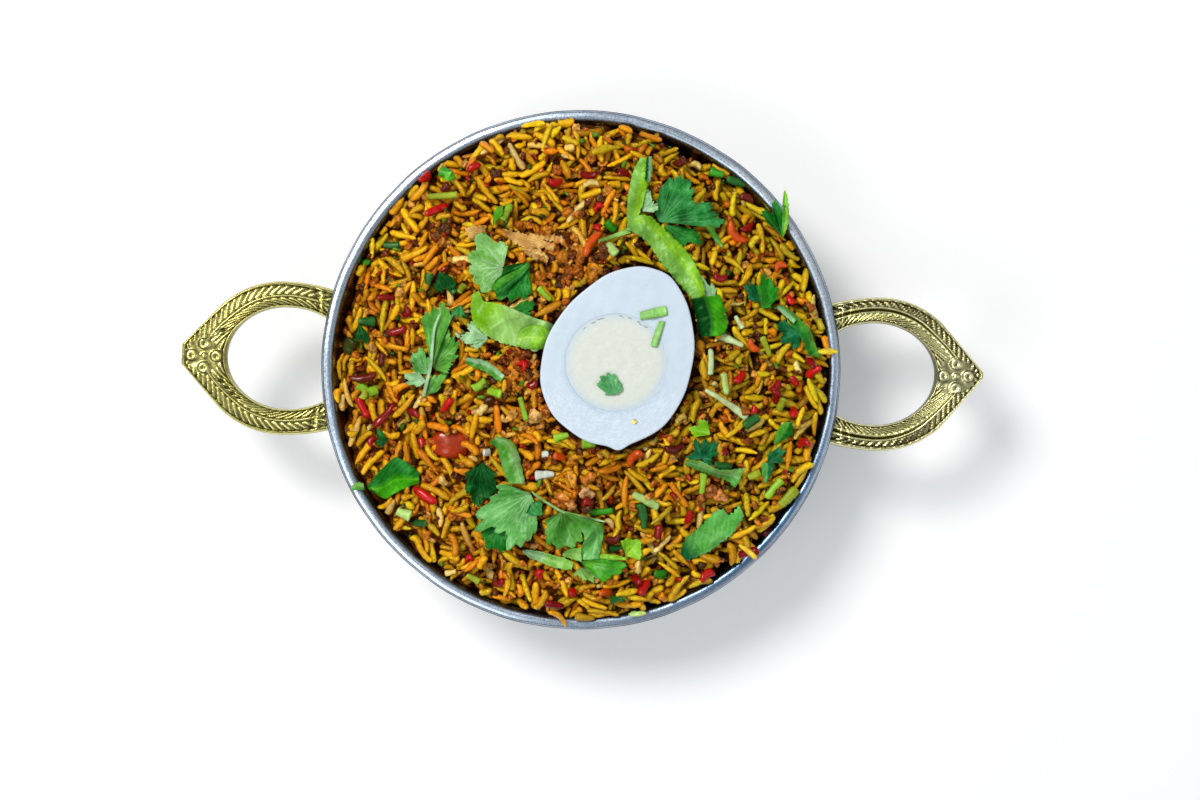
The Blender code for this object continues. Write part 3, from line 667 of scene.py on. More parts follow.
SHADES = {
    "red": (196, 14, 8), "dark": (140, 8, 10), "maroon": (96, 20, 8), "orange": (228, 90, 10),
    "lime": (142, 194, 44), "pale": (204, 226, 168), "mint": (176, 214, 120), "white": (226, 238, 226),
    "green": (46, 146, 24), "olive": (156, 172, 36), "moss": (52, 62, 10), "deep": (26, 96, 34),
}


def lay_extras():
    """The slices of chilli and the cut stalks."""
    for x, y, heading, length, width, shade in REDS:
        colour = linear(SHADES[shade]) * RNG.uniform(0.85, 1.1)
        lay_bar(
            "red", x, y, math.radians(heading), length, 0.5 * width, 0.36 * width, colour,
            bend=RNG.normal(0.0, 0.9), blunt=RNG.uniform(3.5, 7.0), sink=0.3,
        )
    for x, y, heading, length, width, shade in GREENS:
        colour = linear(SHADES[shade]) * RNG.uniform(0.9, 1.1)
        lay_bar(
            "green", x, y, math.radians(heading), length, 0.5 * width, 0.26 * width, colour,
            bend=RNG.normal(0.0, 0.25), blunt=26.0, sink=0.2,
        )


FLECKS = [  # chance and colour of small bits of spice, pepper, herb and onion
    (0.18, (150, 18, 4)), (0.22, (92, 20, 6)), (0.07, (84, 140, 22)),
    (0.09, (20, 76, 18)), (0.03, (236, 206, 120)), (0.41, (196, 108, 14)),
]


def lay_flecks():
    chances = np.array([chance for chance, _ in FLECKS])
    low = np.clip(TARGET + 1.5 - field, 0.0, 4.0)
    low[(R > CRUMB_RADIUS) | (widened(EGG_MASK.astype(float), 1.6) > 0.5)] = 0.0
    for place in RNG.choice(SIZE * SIZE, size=FLECK_COUNT, p=low.ravel() / low.sum()):
        colour = linear(FLECKS[RNG.choice(len(FLECKS), p=chances / chances.sum())][1]) * RNG.uniform(0.8, 1.2)
        lay_bar(
            "fleck", X.flat[place], Y.flat[place], RNG.uniform(0, math.pi), RNG.uniform(1.2, 3.0),
            RNG.uniform(0.35, 0.8), 0.4, colour, blunt=RNG.uniform(2.0, 6.0), sink=0.1,
        )


# Shapes of bars and lumps

def bar_meshes(rows, wobble, seed, parts=9, sides=8, painted_top_light=0.0):
    """Points, faces and tints of many rounded, slightly bent bars."""
    dice = np.random.default_rng(seed)
    data = np.array(rows, float)
    count = len(data)
    x, y, z, yaw, slope, length, half_width, half_thick, bend, roll, blunt = data[:, :11].T
    colour = data[:, 11:14]
    share = -np.cos(np.pi * np.arange(1, parts) / parts)
    share = np.sign(share) * np.abs(share) ** 0.9
    full = fullness(share[None, :], blunt[:, None])
    turns = circle(sides)
    rings = len(share)
    shape = (count, rings, sides)
    rough = 1.0 + wobble * dice.standard_normal((count, rings, 1))
    rough = rough + 0.5 * wobble * dice.standard_normal(shape)
    rough = rough + 0.10 * np.cos(3.0 * turns[None, None, :] + dice.uniform(0, ANY_START, (count, 1, 1)))
    lopsided = 1.0 + 0.16 * dice.standard_normal((count, 1, 1)) * share[None, :, None]
    a = half_width[:, None, None] * full[:, :, None] * rough * lopsided
    b = half_thick[:, None, None] * full[:, :, None] * rough * lopsided
    twist = np.broadcast_to(turns[None, None, :] + roll[:, None, None], shape)
    v = a * np.cos(twist)
    w = b * np.sin(twist)
    u = np.broadcast_to(0.5 * length[:, None, None] * share[None, :, None], shape).copy()
    tips_u = np.stack([-0.5 * length, 0.5 * length], axis=1)
    v = v + (bend[:, None] * (0.4 - share * share))[:, :, None]
    tips_v = bend[:, None] * (0.4 - np.ones((1, 2)))
    u = np.concatenate([u.reshape(count, -1), tips_u], axis=1)
    v = np.concatenate([v.reshape(count, -1), tips_v], axis=1)
    w = np.concatenate([w.reshape(count, -1), np.zeros((count, 2))], axis=1)
    pitch = np.arctan(slope)[:, None]
    ahead = u * np.cos(pitch) - w * np.sin(pitch)
    up = u * np.sin(pitch) + w * np.cos(pitch)
    c, s = np.cos(yaw)[:, None], np.sin(yaw)[:, None]
    points = np.stack([
        x[:, None] + ahead * c - v * s, y[:, None] + ahead * s + v * c, z[:, None] + up,
    ], axis=2)
    each = rings * sides + 2
    one_bar = capped_lattice(rings, sides)
    faces = []
    for i in range(count):
        faces += shifted(one_bar, i * each)
    ends = np.concatenate([np.repeat(np.abs(share), sides), [1.0, 1.0]])
    shade = 1.0 + 0.25 * (ends[None, :] ** 3) * dice.uniform(-0.6, 1.0, (count, 1))
    along = np.concatenate([np.repeat(share, sides), [-1.0, 1.0]])[None, :]
    stain = np.sin(2.2 * along + dice.uniform(0, ANY_START, (count, 1))) * dice.uniform(0.0, 1.0, (count, 1))
    stain = clamp(stain + 0.25 * dice.standard_normal(shade.shape))[..., None]
    tints = colour[:, None, :] * shade[:, :, None] * (1.0 - stain * np.array([0.08, 0.28, 0.5]))
    # Painted light and shade: paler along the top of each grain and darker on its flanks, partly also as oil
    # and spice gather there.
    upper = np.concatenate([np.sin(twist).reshape(count, -1), np.zeros((count, 2))], axis=1)[..., None]
    tints = tints * (1.0 + painted_top_light * np.clip(upper, -0.7, 1.0))
    tints = tints + painted_top_light * clamp(upper) ** 3 * np.array([0.10, 0.11, 0.01])
    return points.reshape(-1, 3), faces, tints.reshape(-1, 3)


def lump_meshes(rows, roughness=1.0, fineness=3):
    """Points, faces and tints of rough crumbs."""
    form = bmesh.new()
    bmesh.ops.create_icosphere(form, subdivisions=fineness, radius=1.0)
    ball = np.array([v.co[:] for v in form.verts])
    ball_faces = [tuple(v.index for v in f.verts) for f in form.faces]
    form.free()
    dice = np.random.default_rng(11)
    points, faces, tints = [], [], []
    for x, y, z, ra, rb, rc, yaw, *colour in rows:
        swell = np.zeros(len(ball))
        for pitch, amount in ((2.2, 0.16), (4.5, 0.11), (9.0, 0.07)):
            for _ in range(3):
                aim = dice.standard_normal(3)
                swell += roughness * amount * np.sin(pitch * ball @ aim + dice.uniform(0, ANY_START))
        local = ball * (1.0 + swell)[:, None] * np.array([ra, rb, rc])
        c, s = math.cos(yaw), math.sin(yaw)
        faces += shifted(ball_faces, len(points) * len(ball))
        points.append(np.stack([
            x + local[:, 0] * c - local[:, 1] * s, y + local[:, 0] * s + local[:, 1] * c, z + local[:, 2],
        ], axis=1))
        # Painted shade and light: each crumb is darker in its dents and paler on its bumps.
        tints.append(np.array(colour)[None, :] * (1.0 + 1.1 * swell)[:, None].clip(0.3, 1.7))
    return np.concatenate(points), faces, np.concatenate(tints)


TOMATO_PLACE = (-39.4, -22.4)
TOMATO_RADII = (5.1, 5.3, 1.8)
RIM_GRAINS = [  # x, y, heading, length, bend, colour: grains that lie on the rolled edge
    (-6.7, -75.6, -45, 9.4, 1.4, (226, 160, 14)),
    (75.4, 5.4, 2, 7.4, 0.2, (240, 220, 60)),
    (-14.6, 74.9, 4, 8.4, 0.3, (244, 200, 20)),
    (-6.4, 75.3, 1, 8.0, -0.3, (248, 210, 30)),
    (17.3, -74.5, 10, 7.2, 0.0, (176, 222, 130)),
    (50.6, -55.0, -38, 7.0, 0.3, (226, 200, 60)),
    (-51.6, 54.8, 44, 6.4, 0.2, (232, 190, 22)),
]


def lay_on_rim():
    """Raises the field to the rolled edge, then lays the grains that reach over it."""
    lip = (R > 76.8) & (R < RIM_RADIUS)
    field[lip] = np.maximum(field[lip], RIM_HEIGHT - 0.2)
    for x, y, heading, length, bend, colour in RIM_GRAINS:
        lay_bar("rice", x, y, math.radians(heading), length, 0.95, 0.8, linear(colour), bend=bend, blunt=2.8)


def lay_tomato():
    """The largest piece of cooked tomato, half sunk in the rice."""
    x, y = TOMATO_PLACE
    near = np.hypot((X - x) / TOMATO_RADII[0], (Y - y) / TOMATO_RADII[1])
    z = float(np.percentile(field[near < 1.0], 75)) - 0.6
    dome = z + TOMATO_RADII[2] * bulge(near)
    field[near < 1.0] = np.maximum(field, dome)[near < 1.0]
    TARGET[near < 1.15] -= 6.0
    return (x, y, z - 0.5, *TOMATO_RADII, 0.4, *linear((158, 46, 4)))


# Larger lumps of browned meat and onion: x, y, radius, colour
CHUNKS = [
    (1.9, -37.2, 2.5, (228, 168, 112)), (-5.6, -38.6, 2.0, (206, 122, 40)),
    (-3.2, -41.0, 1.9, (222, 150, 80)), (-2.6, -33.0, 2.4, (224, 150, 36)),
    (2.6, -33.2, 2.0, (190, 108, 34)), (39.5, -36.6, 2.0, (170, 96, 40)),
    (42.6, -38.6, 1.8, (196, 124, 60)), (37.4, -39.2, 1.8, (150, 84, 30)),
    (-13.8, -14.4, 2.2, (232, 178, 96)), (-10.2, -12.8, 2.0, (190, 110, 40)),
    (-14.2, -53.6, 1.3, (206, 150, 84)),
]

fill_heap(FIRST_GRAINS, 0.8)
for x, y, radius, colour in CHUNKS:
    drop_lump(x, y, radius, linear(colour))
BED = field.copy()
tomato_row = lay_tomato()
lay_extras()
lay_on_rim()
TARGET += 0.9
fill_heap(LAST_GRAINS, 1.2)
lay_flecks()

rice_finish = finish(
    "rice", vary=0.26, scale=900.0, rough=0.16, rough_vary=0.09, bump=0.8, bump_scale=1500.0, depth=0.36,
    specular=0.8, gloss=(255, 224, 130), blotch=(206, 112, 2), blotch_scale=260.0, blotch_most=0.34,
)
crumb_finish = finish(
    "crumb", vary=0.45, scale=1300.0, rough=0.22, rough_vary=0.14, bump=0.7, bump_scale=2400.0, depth=0.45,
    specular=0.7, gloss=(255, 206, 120), coat=0.25, coat_rough=0.08,
)
pepper_finish = finish(
    "pepper", vary=0.3, scale=600.0, rough=0.3, rough_vary=0.1, bump=0.4, bump_scale=1100.0, depth=0.35,
    specular=0.2, coat=0.6, coat_rough=0.12, gloss=(255, 180, 150),
)
stem_finish = finish(
    "stem", vary=0.2, scale=600.0, rough=0.34, bump=0.4, bump_scale=1500.0, depth=0.25, gloss=(235, 255, 200),
)
core_finish = finish(
    "core", vary=0.4, scale=500.0, rough=0.3, rough_vary=0.14, bump=0.8, bump_scale=900.0, depth=0.9,
    specular=0.6, gloss=(255, 200, 110),
)

# In the order in which they were laid, in three pieces of a size that the library takes
third = len(BARS["rice"]) // 3
layers = (BARS["rice"][:third], BARS["rice"][third : 2 * third], BARS["rice"][2 * third :])
for name, seed, layer in zip(("rice_grains", "rice_grains_middle", "rice_grains_top"), (21, 31, 41), layers):
    # The grains get painted light on their tops and painted shade on their flanks.
    shape = bar_meshes(layer, 0.1, seed, sides=7, painted_top_light=0.34)
    make_piece(name, shape, rice_finish, ["rice_heap"] if name == "rice_grains" else [])
make_piece("red_strips", bar_meshes(BARS["red"], 0.09, 22), pepper_finish)
make_piece("spice_flecks", bar_meshes(BARS["fleck"], 0.16, 24, 5, 6), crumb_finish)
make_piece("green_strips", bar_meshes(BARS["green"], 0.05, 23, 13, 8), stem_finish)
large = [row for row in LUMPS if row[3] > SMALL_LUMP]
small = [row for row in LUMPS if row[3] <= SMALL_LUMP]
make_piece("crumbs", lump_meshes(large, 1.0, 3), crumb_finish)
make_piece("crumbs_small", lump_meshes(small, 1.0, 2), crumb_finish)
make_piece("tomato_chunk", lump_meshes([tomato_row], 0.45), pepper_finish, ["tomato_piece"])


def core_top():
    """Height and colour of the dark mass that shows between the grains: brown from sauce, and darker with
    painted shade.
    """
    rough = np.zeros_like(X)
    dice = np.random.default_rng(5)
    for _ in range(14):
        rough += 0.3 * ripple(dice, X, Y, 0.7, 2.8)
    height = blurred(BED, 1.6) - 1.9 - 0.008 * (X + 80.0) + 0.45 * rough
    clear = widened(EGG_MASK.astype(float), 3.0) > 0.5
    return np.where(clear, CORE, np.maximum(height, CORE)), rough


def build_core():
    """The inside of the heap: a rough mass on top, dark from sauce and painted shade, plain down to the
    inside of the bowl.
    """
    columns, rings = 240, 80
    turns = circle(columns)
    heights, rough = core_top()
    rows = []
    inset = WALL + 0.4
    # The rounded corner of the bowl, then its wall, then in to the middle over the top
    for k in range(9):
        a = -math.pi / 2 + (math.pi / 2 - WALL_LEAN) * k / 8
        radius = BASE_RADIUS + (CORNER_RADIUS - inset) * math.cos(a)
        height = CORNER_RADIUS + (CORNER_RADIUS - inset) * math.sin(a)
        rows.append((np.full(columns, radius), np.full(columns, height)))
    edge_z = np.minimum(heights[cell_of(72.0 * np.sin(turns)), cell_of(72.0 * np.cos(turns))], LIP_HEIGHT)
    edge_r = wall_radius(edge_z, inset)
    rows.append((edge_r, edge_z))
    for k in range(1, rings):
        radius = edge_r * (1.0 - k / rings)
        height = heights[cell_of(radius * np.sin(turns)), cell_of(radius * np.cos(turns))]
        if k < 6:  # no step at the wall
            height = np.minimum(height, edge_z + 0.5 * k)
        rows.append((radius, height))
    rows = [ring_at(r * np.cos(turns), r * np.sin(turns), z) for r, z in rows]
    points, faces = revolve(rows, (0.0, 0.0, inset), (0.0, 0.0, heights[SIZE // 2, SIZE // 2]))
    shade = rough[cell_of(points[:, 1]), cell_of(points[:, 0])][:, None]
    left = clamp((30.0 - points[:, :1]) / 90.0)
    # Painted shade, partly also sauce: dark brown, a little paler towards the left.
    sauce_and_shade = (1 - left) * linear((70, 32, 4)) + left * linear((112, 52, 4))
    tints = sauce_and_shade * (1.0 + 0.5 * np.clip(shade, -1.4, 1.6))
    make_piece("rice_core", (points, faces, tints), core_finish)


build_core()


# Leaves

def sample(values, x, y):
    """Values of a field between its cells."""
    gx = np.clip((np.asarray(x) + HALF) / CELL, 0, SIZE - 1.001)
    gy = np.clip((np.asarray(y) + HALF) / CELL, 0, SIZE - 1.001)
    i, j = gy.astype(int), gx.astype(int)
    fy, fx = gy - i, gx - j
    return (
        values[i, j] * (1 - fy) * (1 - fx) + values[i, j + 1] * (1 - fy) * fx
        + values[i + 1, j] * fy * (1 - fx) + values[i + 1, j + 1] * fy * fx
    )


TOOTH = 1.7  # width of a tooth on a leaf's edge
TEETH = {  # depth of the teeth on some leaves; 1.0 on the others
    "veined_pale": 0.35, "south_big": 0.7, "dark_folded": 0.7, "south_bright": 0.25, "south_veined": 0.4,
    "south_under": 0.4, "lime_blob": 0.35, "curl_teal": 0.3, "tall_trefoil": 0.8, "tall_right": 1.3,
}


def saw(gone, seed):
    """Pointed teeth of uneven width along an edge: 0 in the notches, 1 at the points."""
    phase = gone / TOOTH + 0.22 * np.sin(1.3 * gone + seed) + 0.13 * np.sin(3.1 * gone + 2.0 * seed)
    return 1.0 - np.abs(2.0 * (phase - np.floor(phase)) - 1.0)


def torn(gone, start):
    """An irregular torn edge."""
    return sum(np.sin(pitch * gone + k + start) for k, pitch in enumerate((0.9, 1.7, 3.1, 5.3)))[:, None]


def lobe_reach(turns, lobes, web):
    """How far a leaf reaches in each direction: rounded lobes, joined by a web."""
    middles = [math.radians(angle) for angle, _, _ in lobes]
    low = math.radians(lobes[0][0] - 0.9 * lobes[0][2])
    high = math.radians(lobes[-1][0] + 0.9 * lobes[-1][2])
    web_reach = np.interp(turns, middles, [web * length for _, length, _ in lobes])
    reach = np.where((turns > low) & (turns < high), web_reach, 0.0)
    for angle, length, spread in lobes:
        off = (turns - math.radians(angle)) / math.radians(spread)
        reach = np.maximum(reach, length * clamp(1.0 - np.abs(off) ** 2.0) ** 0.5)
    return reach


def fan_grid(foot, heading, lobes, depth, web=0.7, finer=1.0):
    """Points of a leaf whose lobes spread from its foot, with where its veins run."""
    longest = max(length for _, length, _ in lobes)
    steps = np.radians(np.arange(-179, 180, 1.0))
    wide = steps[lobe_reach(steps, lobes, web) > 0.12 * longest]
    columns = int(np.clip((wide[-1] - wide[0]) * longest / 0.24, 40, 124))
    rings = int(np.clip(longest / 0.6, 12, 24))
    turns = np.linspace(wide[0], wide[-1], columns)
    share = np.linspace(0.02, 1.0, rings)[:, None]
    edge = lobe_reach(turns, lobes, web)
    steps = np.hypot(np.diff(edge), edge[1:] * np.diff(turns))
    edge = edge - depth * (1.0 - saw(finer * np.concatenate([[0.0], np.cumsum(steps)]), heading))
    reach = np.maximum(edge, 0.3)[None, :] * share
    aim = turns[None, :] + math.radians(heading)
    x, y = foot[0] + reach * np.cos(aim), foot[1] + reach * np.sin(aim)
    pleat = 0.55 * np.abs(np.sin(11.0 * turns + 0.6 * np.sin(5.0 * turns))) ** 3
    vein = np.broadcast_to(pleat[None, :] * np.clip(1.5 * share, 0.3, 1.0), reach.shape)
    nearest = np.full_like(reach, 9.0)
    for angle, length, _ in lobes:
        off = turns[None, :] - math.radians(angle)
        ahead, aside = reach * np.cos(off), np.abs(reach * np.sin(off))
        middle = bell(aside / 0.24) * clamp(1.2 - ahead / length)
        branch = 0.6 * np.abs(np.cos(math.pi * (ahead - 1.2 * aside) / 2.1)) ** 12
        own = np.abs(off) < nearest
        vein = np.where(own & (share > 0.4), np.maximum(0.5 * vein, branch), vein)
        nearest = np.minimum(nearest, np.broadcast_to(np.abs(off), reach.shape))
        vein = np.maximum(vein, middle)
    vein = np.maximum(vein, 0.9 * bell(reach / 1.6))
    aside = clamp(nearest * 1.6) * share
    return x, y, np.broadcast_to(share, reach.shape), vein, aside, np.broadcast_to(share, reach.shape)


def strip_grid(stations, teeth=(0.0, 0.0), rib=0.0, across=True, fibres=False, first_part=0.0):
    """Points of a folded leaf or a strip between two edges, given as pairs of places along it."""
    # The corners between the stations are cut twice, which rounds the outline.
    edges = np.array(stations, float)
    for _ in range(2):
        rounded = [edges[0]]
        for near, far in zip(edges, edges[1:]):
            rounded += [0.8 * near + 0.2 * far, 0.2 * near + 0.8 * far]
        rounded.append(edges[-1])
        edges = np.array(rounded)
    middle = 0.5 * (edges[:, :2] + edges[:, 2:])
    gone = np.concatenate([[0.0], np.cumsum(np.hypot(*np.diff(middle, axis=0).T))])
    length = gone[-1]
    rows = int(np.clip(length / 0.28, 12, 120))
    along = np.linspace(0.0, length, rows)
    line = np.stack([np.interp(along, gone, edges[:, k]) for k in range(4)], axis=1)
    near, far = line[:, :2], line[:, 2:]
    half = 0.5 * np.hypot(*(far - near).T)[:, None]
    side = (far - near) / (2.0 * half + 1e-6)
    if fibres:
        near = near - side * teeth[0] * 0.2 * torn(along, 0)
        far = far + side * teeth[1] * 0.2 * torn(along, 4)
    else:
        near = near - side * teeth[0] * (saw(along, 1.0)[:, None] - 0.5)
        far = far + side * teeth[1] * (saw(along, 4.0)[:, None] - 0.5)
    v = np.linspace(-1.0, 1.0, int(np.clip(2.0 * half.max() / 0.35, 7, 27)))
    x = 0.5 * (near[:, :1] + far[:, :1]) + 0.5 * (far - near)[:, :1] * v
    y = 0.5 * (near[:, 1:] + far[:, 1:]) + 0.5 * (far - near)[:, 1:] * v
    slant = along[:, None] - 1.0 * np.abs(v - rib) * half
    if fibres:
        wander = 0.7 * np.sin(along[:, None]) + 0.5 * np.sin(3.3 * along[:, None])
        vein = 1.6 * np.abs(np.sin(9.0 * v + wander)) ** 2
    else:
        vein = 0.4 * np.abs(np.sin(math.pi * slant / 2.2 + 0.5 * np.sin(along[:, None]))) ** 8
        vein = np.maximum(vein, 0.9 * bell((v - rib) * half / 0.26))
    share = np.broadcast_to((along / length)[:, None], x.shape)
    blend = clamp(0.5 + 2.5 * v) if across else clamp(5.0 * share - first_part)
    blend = np.broadcast_to(blend, x.shape)
    return x, y, share, vein, np.broadcast_to(np.abs(v), x.shape), blend


def sheet_piece(name, grid, tones, lift, curl, rise, thick=0.25, stiff=1.4, made_of=None):
    """A leaf from its grid of points, laid on the field and then part of it.

    It replaces the CAD leaf of its name, if there is one.
    """
    x, y, share, vein, aside, blend = grid
    first, second = ([linear(colour) for colour in SHADE_PAIRS[key]] for key in (tones[0], tones[-1]))
    dice = np.random.default_rng(sum(map(ord, name)))
    # It spans the gaps between grains, the more the stiffer it is.
    cover = blurred(widened(field, stiff), 0.8 * stiff)
    under = sample(field, x, y)
    z = np.maximum(sample(cover, x, y), under + 0.15)
    for _ in range(6):
        z[1:-1] = 0.5 * z[1:-1] + 0.25 * (z[:-2] + z[2:])
        z[:, 1:-1] = 0.5 * z[:, 1:-1] + 0.25 * (z[:, :-2] + z[:, 2:])
    if rise is not None:
        z = np.maximum(z, rise[0] + (rise[1] - rise[0]) * share)
    z = np.maximum(z, under + 0.3)
    pitch = dice.uniform(0.5, 0.9, 2)
    wave = np.sin(pitch[0] * x + dice.uniform(0, 6)) * np.sin(pitch[1] * y + dice.uniform(0, 6))
    crease = np.zeros_like(x)
    mottle = np.zeros_like(x)
    for _ in range(7):
        mottle += 0.2 * ripple(dice, x, y, 0.3, 1.6)
        crease += 0.12 * (1.0 - np.abs(ripple(dice, x, y, 0.5, 1.3))) ** 2
    z = z + lift * share**2 + curl * aside**2 * (0.4 + 0.6 * share)
    z = z + (0.25 * (wave + 1.0) + crease) * np.clip(2.0 * share, 0.2, 1.0) - 0.14 * vein
    # Colours, paler along the veins and darker at the foot
    mix = clamp(0.55 * vein + 0.15 * mottle + 0.05)[..., None]
    blend = blend[..., None]
    face = (1 - blend) * first[0] + blend * second[0]
    line = (1 - blend) * first[1] + blend * second[1]
    tint = face * (1 - mix) + line * mix
    tint = tint * (0.94 + 0.2 * mottle)[..., None] * (0.78 + 0.26 * share)[..., None]
    # Upper and lower side, closed along the border
    rows, columns = x.shape
    top = np.stack([x, y, z + thick], axis=2).reshape(-1, 3)
    low = np.stack([x, y, z], axis=2).reshape(-1, 3)
    count = rows * columns
    faces = lattice(rows, columns)
    faces += shifted([face[::-1] for face in faces], count)
    border = list(range(columns)) + [i * columns + columns - 1 for i in range(1, rows)]
    border += [(rows - 1) * columns + j for j in range(columns - 2, -1, -1)]
    border += [i * columns for i in range(rows - 2, 0, -1)]
    for near, far in zip(border, border[1:] + border[:1]):
        faces.append((near, near + count, far + count, far))
    # The lower side is painted darker, as shade.
    tints = np.concatenate([tint.reshape(-1, 3), 0.8 * tint.reshape(-1, 3)])
    np.maximum.at(field, (cell_of(y).ravel(), cell_of(x).ravel()), (z + thick).ravel())
    node = CAD_NODES.get(name, f"leaf_{name}")
    replaced = [node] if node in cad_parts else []
    make_piece(name, (np.concatenate([top, low]), faces, tints), made_of or leaf_finish, replaced)


# Colour of the face and of the veins
SHADE_PAIRS = {
    "pale": ((112, 188, 56), (206, 232, 196)),
    "lime": ((132, 206, 6), (190, 232, 70)),
    "leek": ((128, 198, 62), (196, 230, 150)),
    "mid": ((62, 154, 22), (150, 206, 104)),
    "dark": ((4, 112, 18), (90, 178, 90)),
    "deep": ((0, 66, 14), (36, 124, 56)),
    "fresh": ((54, 168, 0), (130, 214, 50)),
    "soft": ((82, 176, 60), (172, 224, 156)),
    "mint": ((132, 196, 112), (222, 240, 222)),
    "blue": ((0, 94, 40), (64, 164, 116)),
    "meat": ((204, 122, 20), (255, 232, 150)),
    "teal": ((14, 128, 44), (116, 196, 122)),
    "stalk": ((140, 214, 88), (186, 238, 150)),
    "egg_leaf": ((54, 156, 76), (132, 206, 132)),
    "rich": ((14, 134, 14), (90, 184, 60)),
    "milky": ((156, 212, 96), (206, 236, 176)),
}
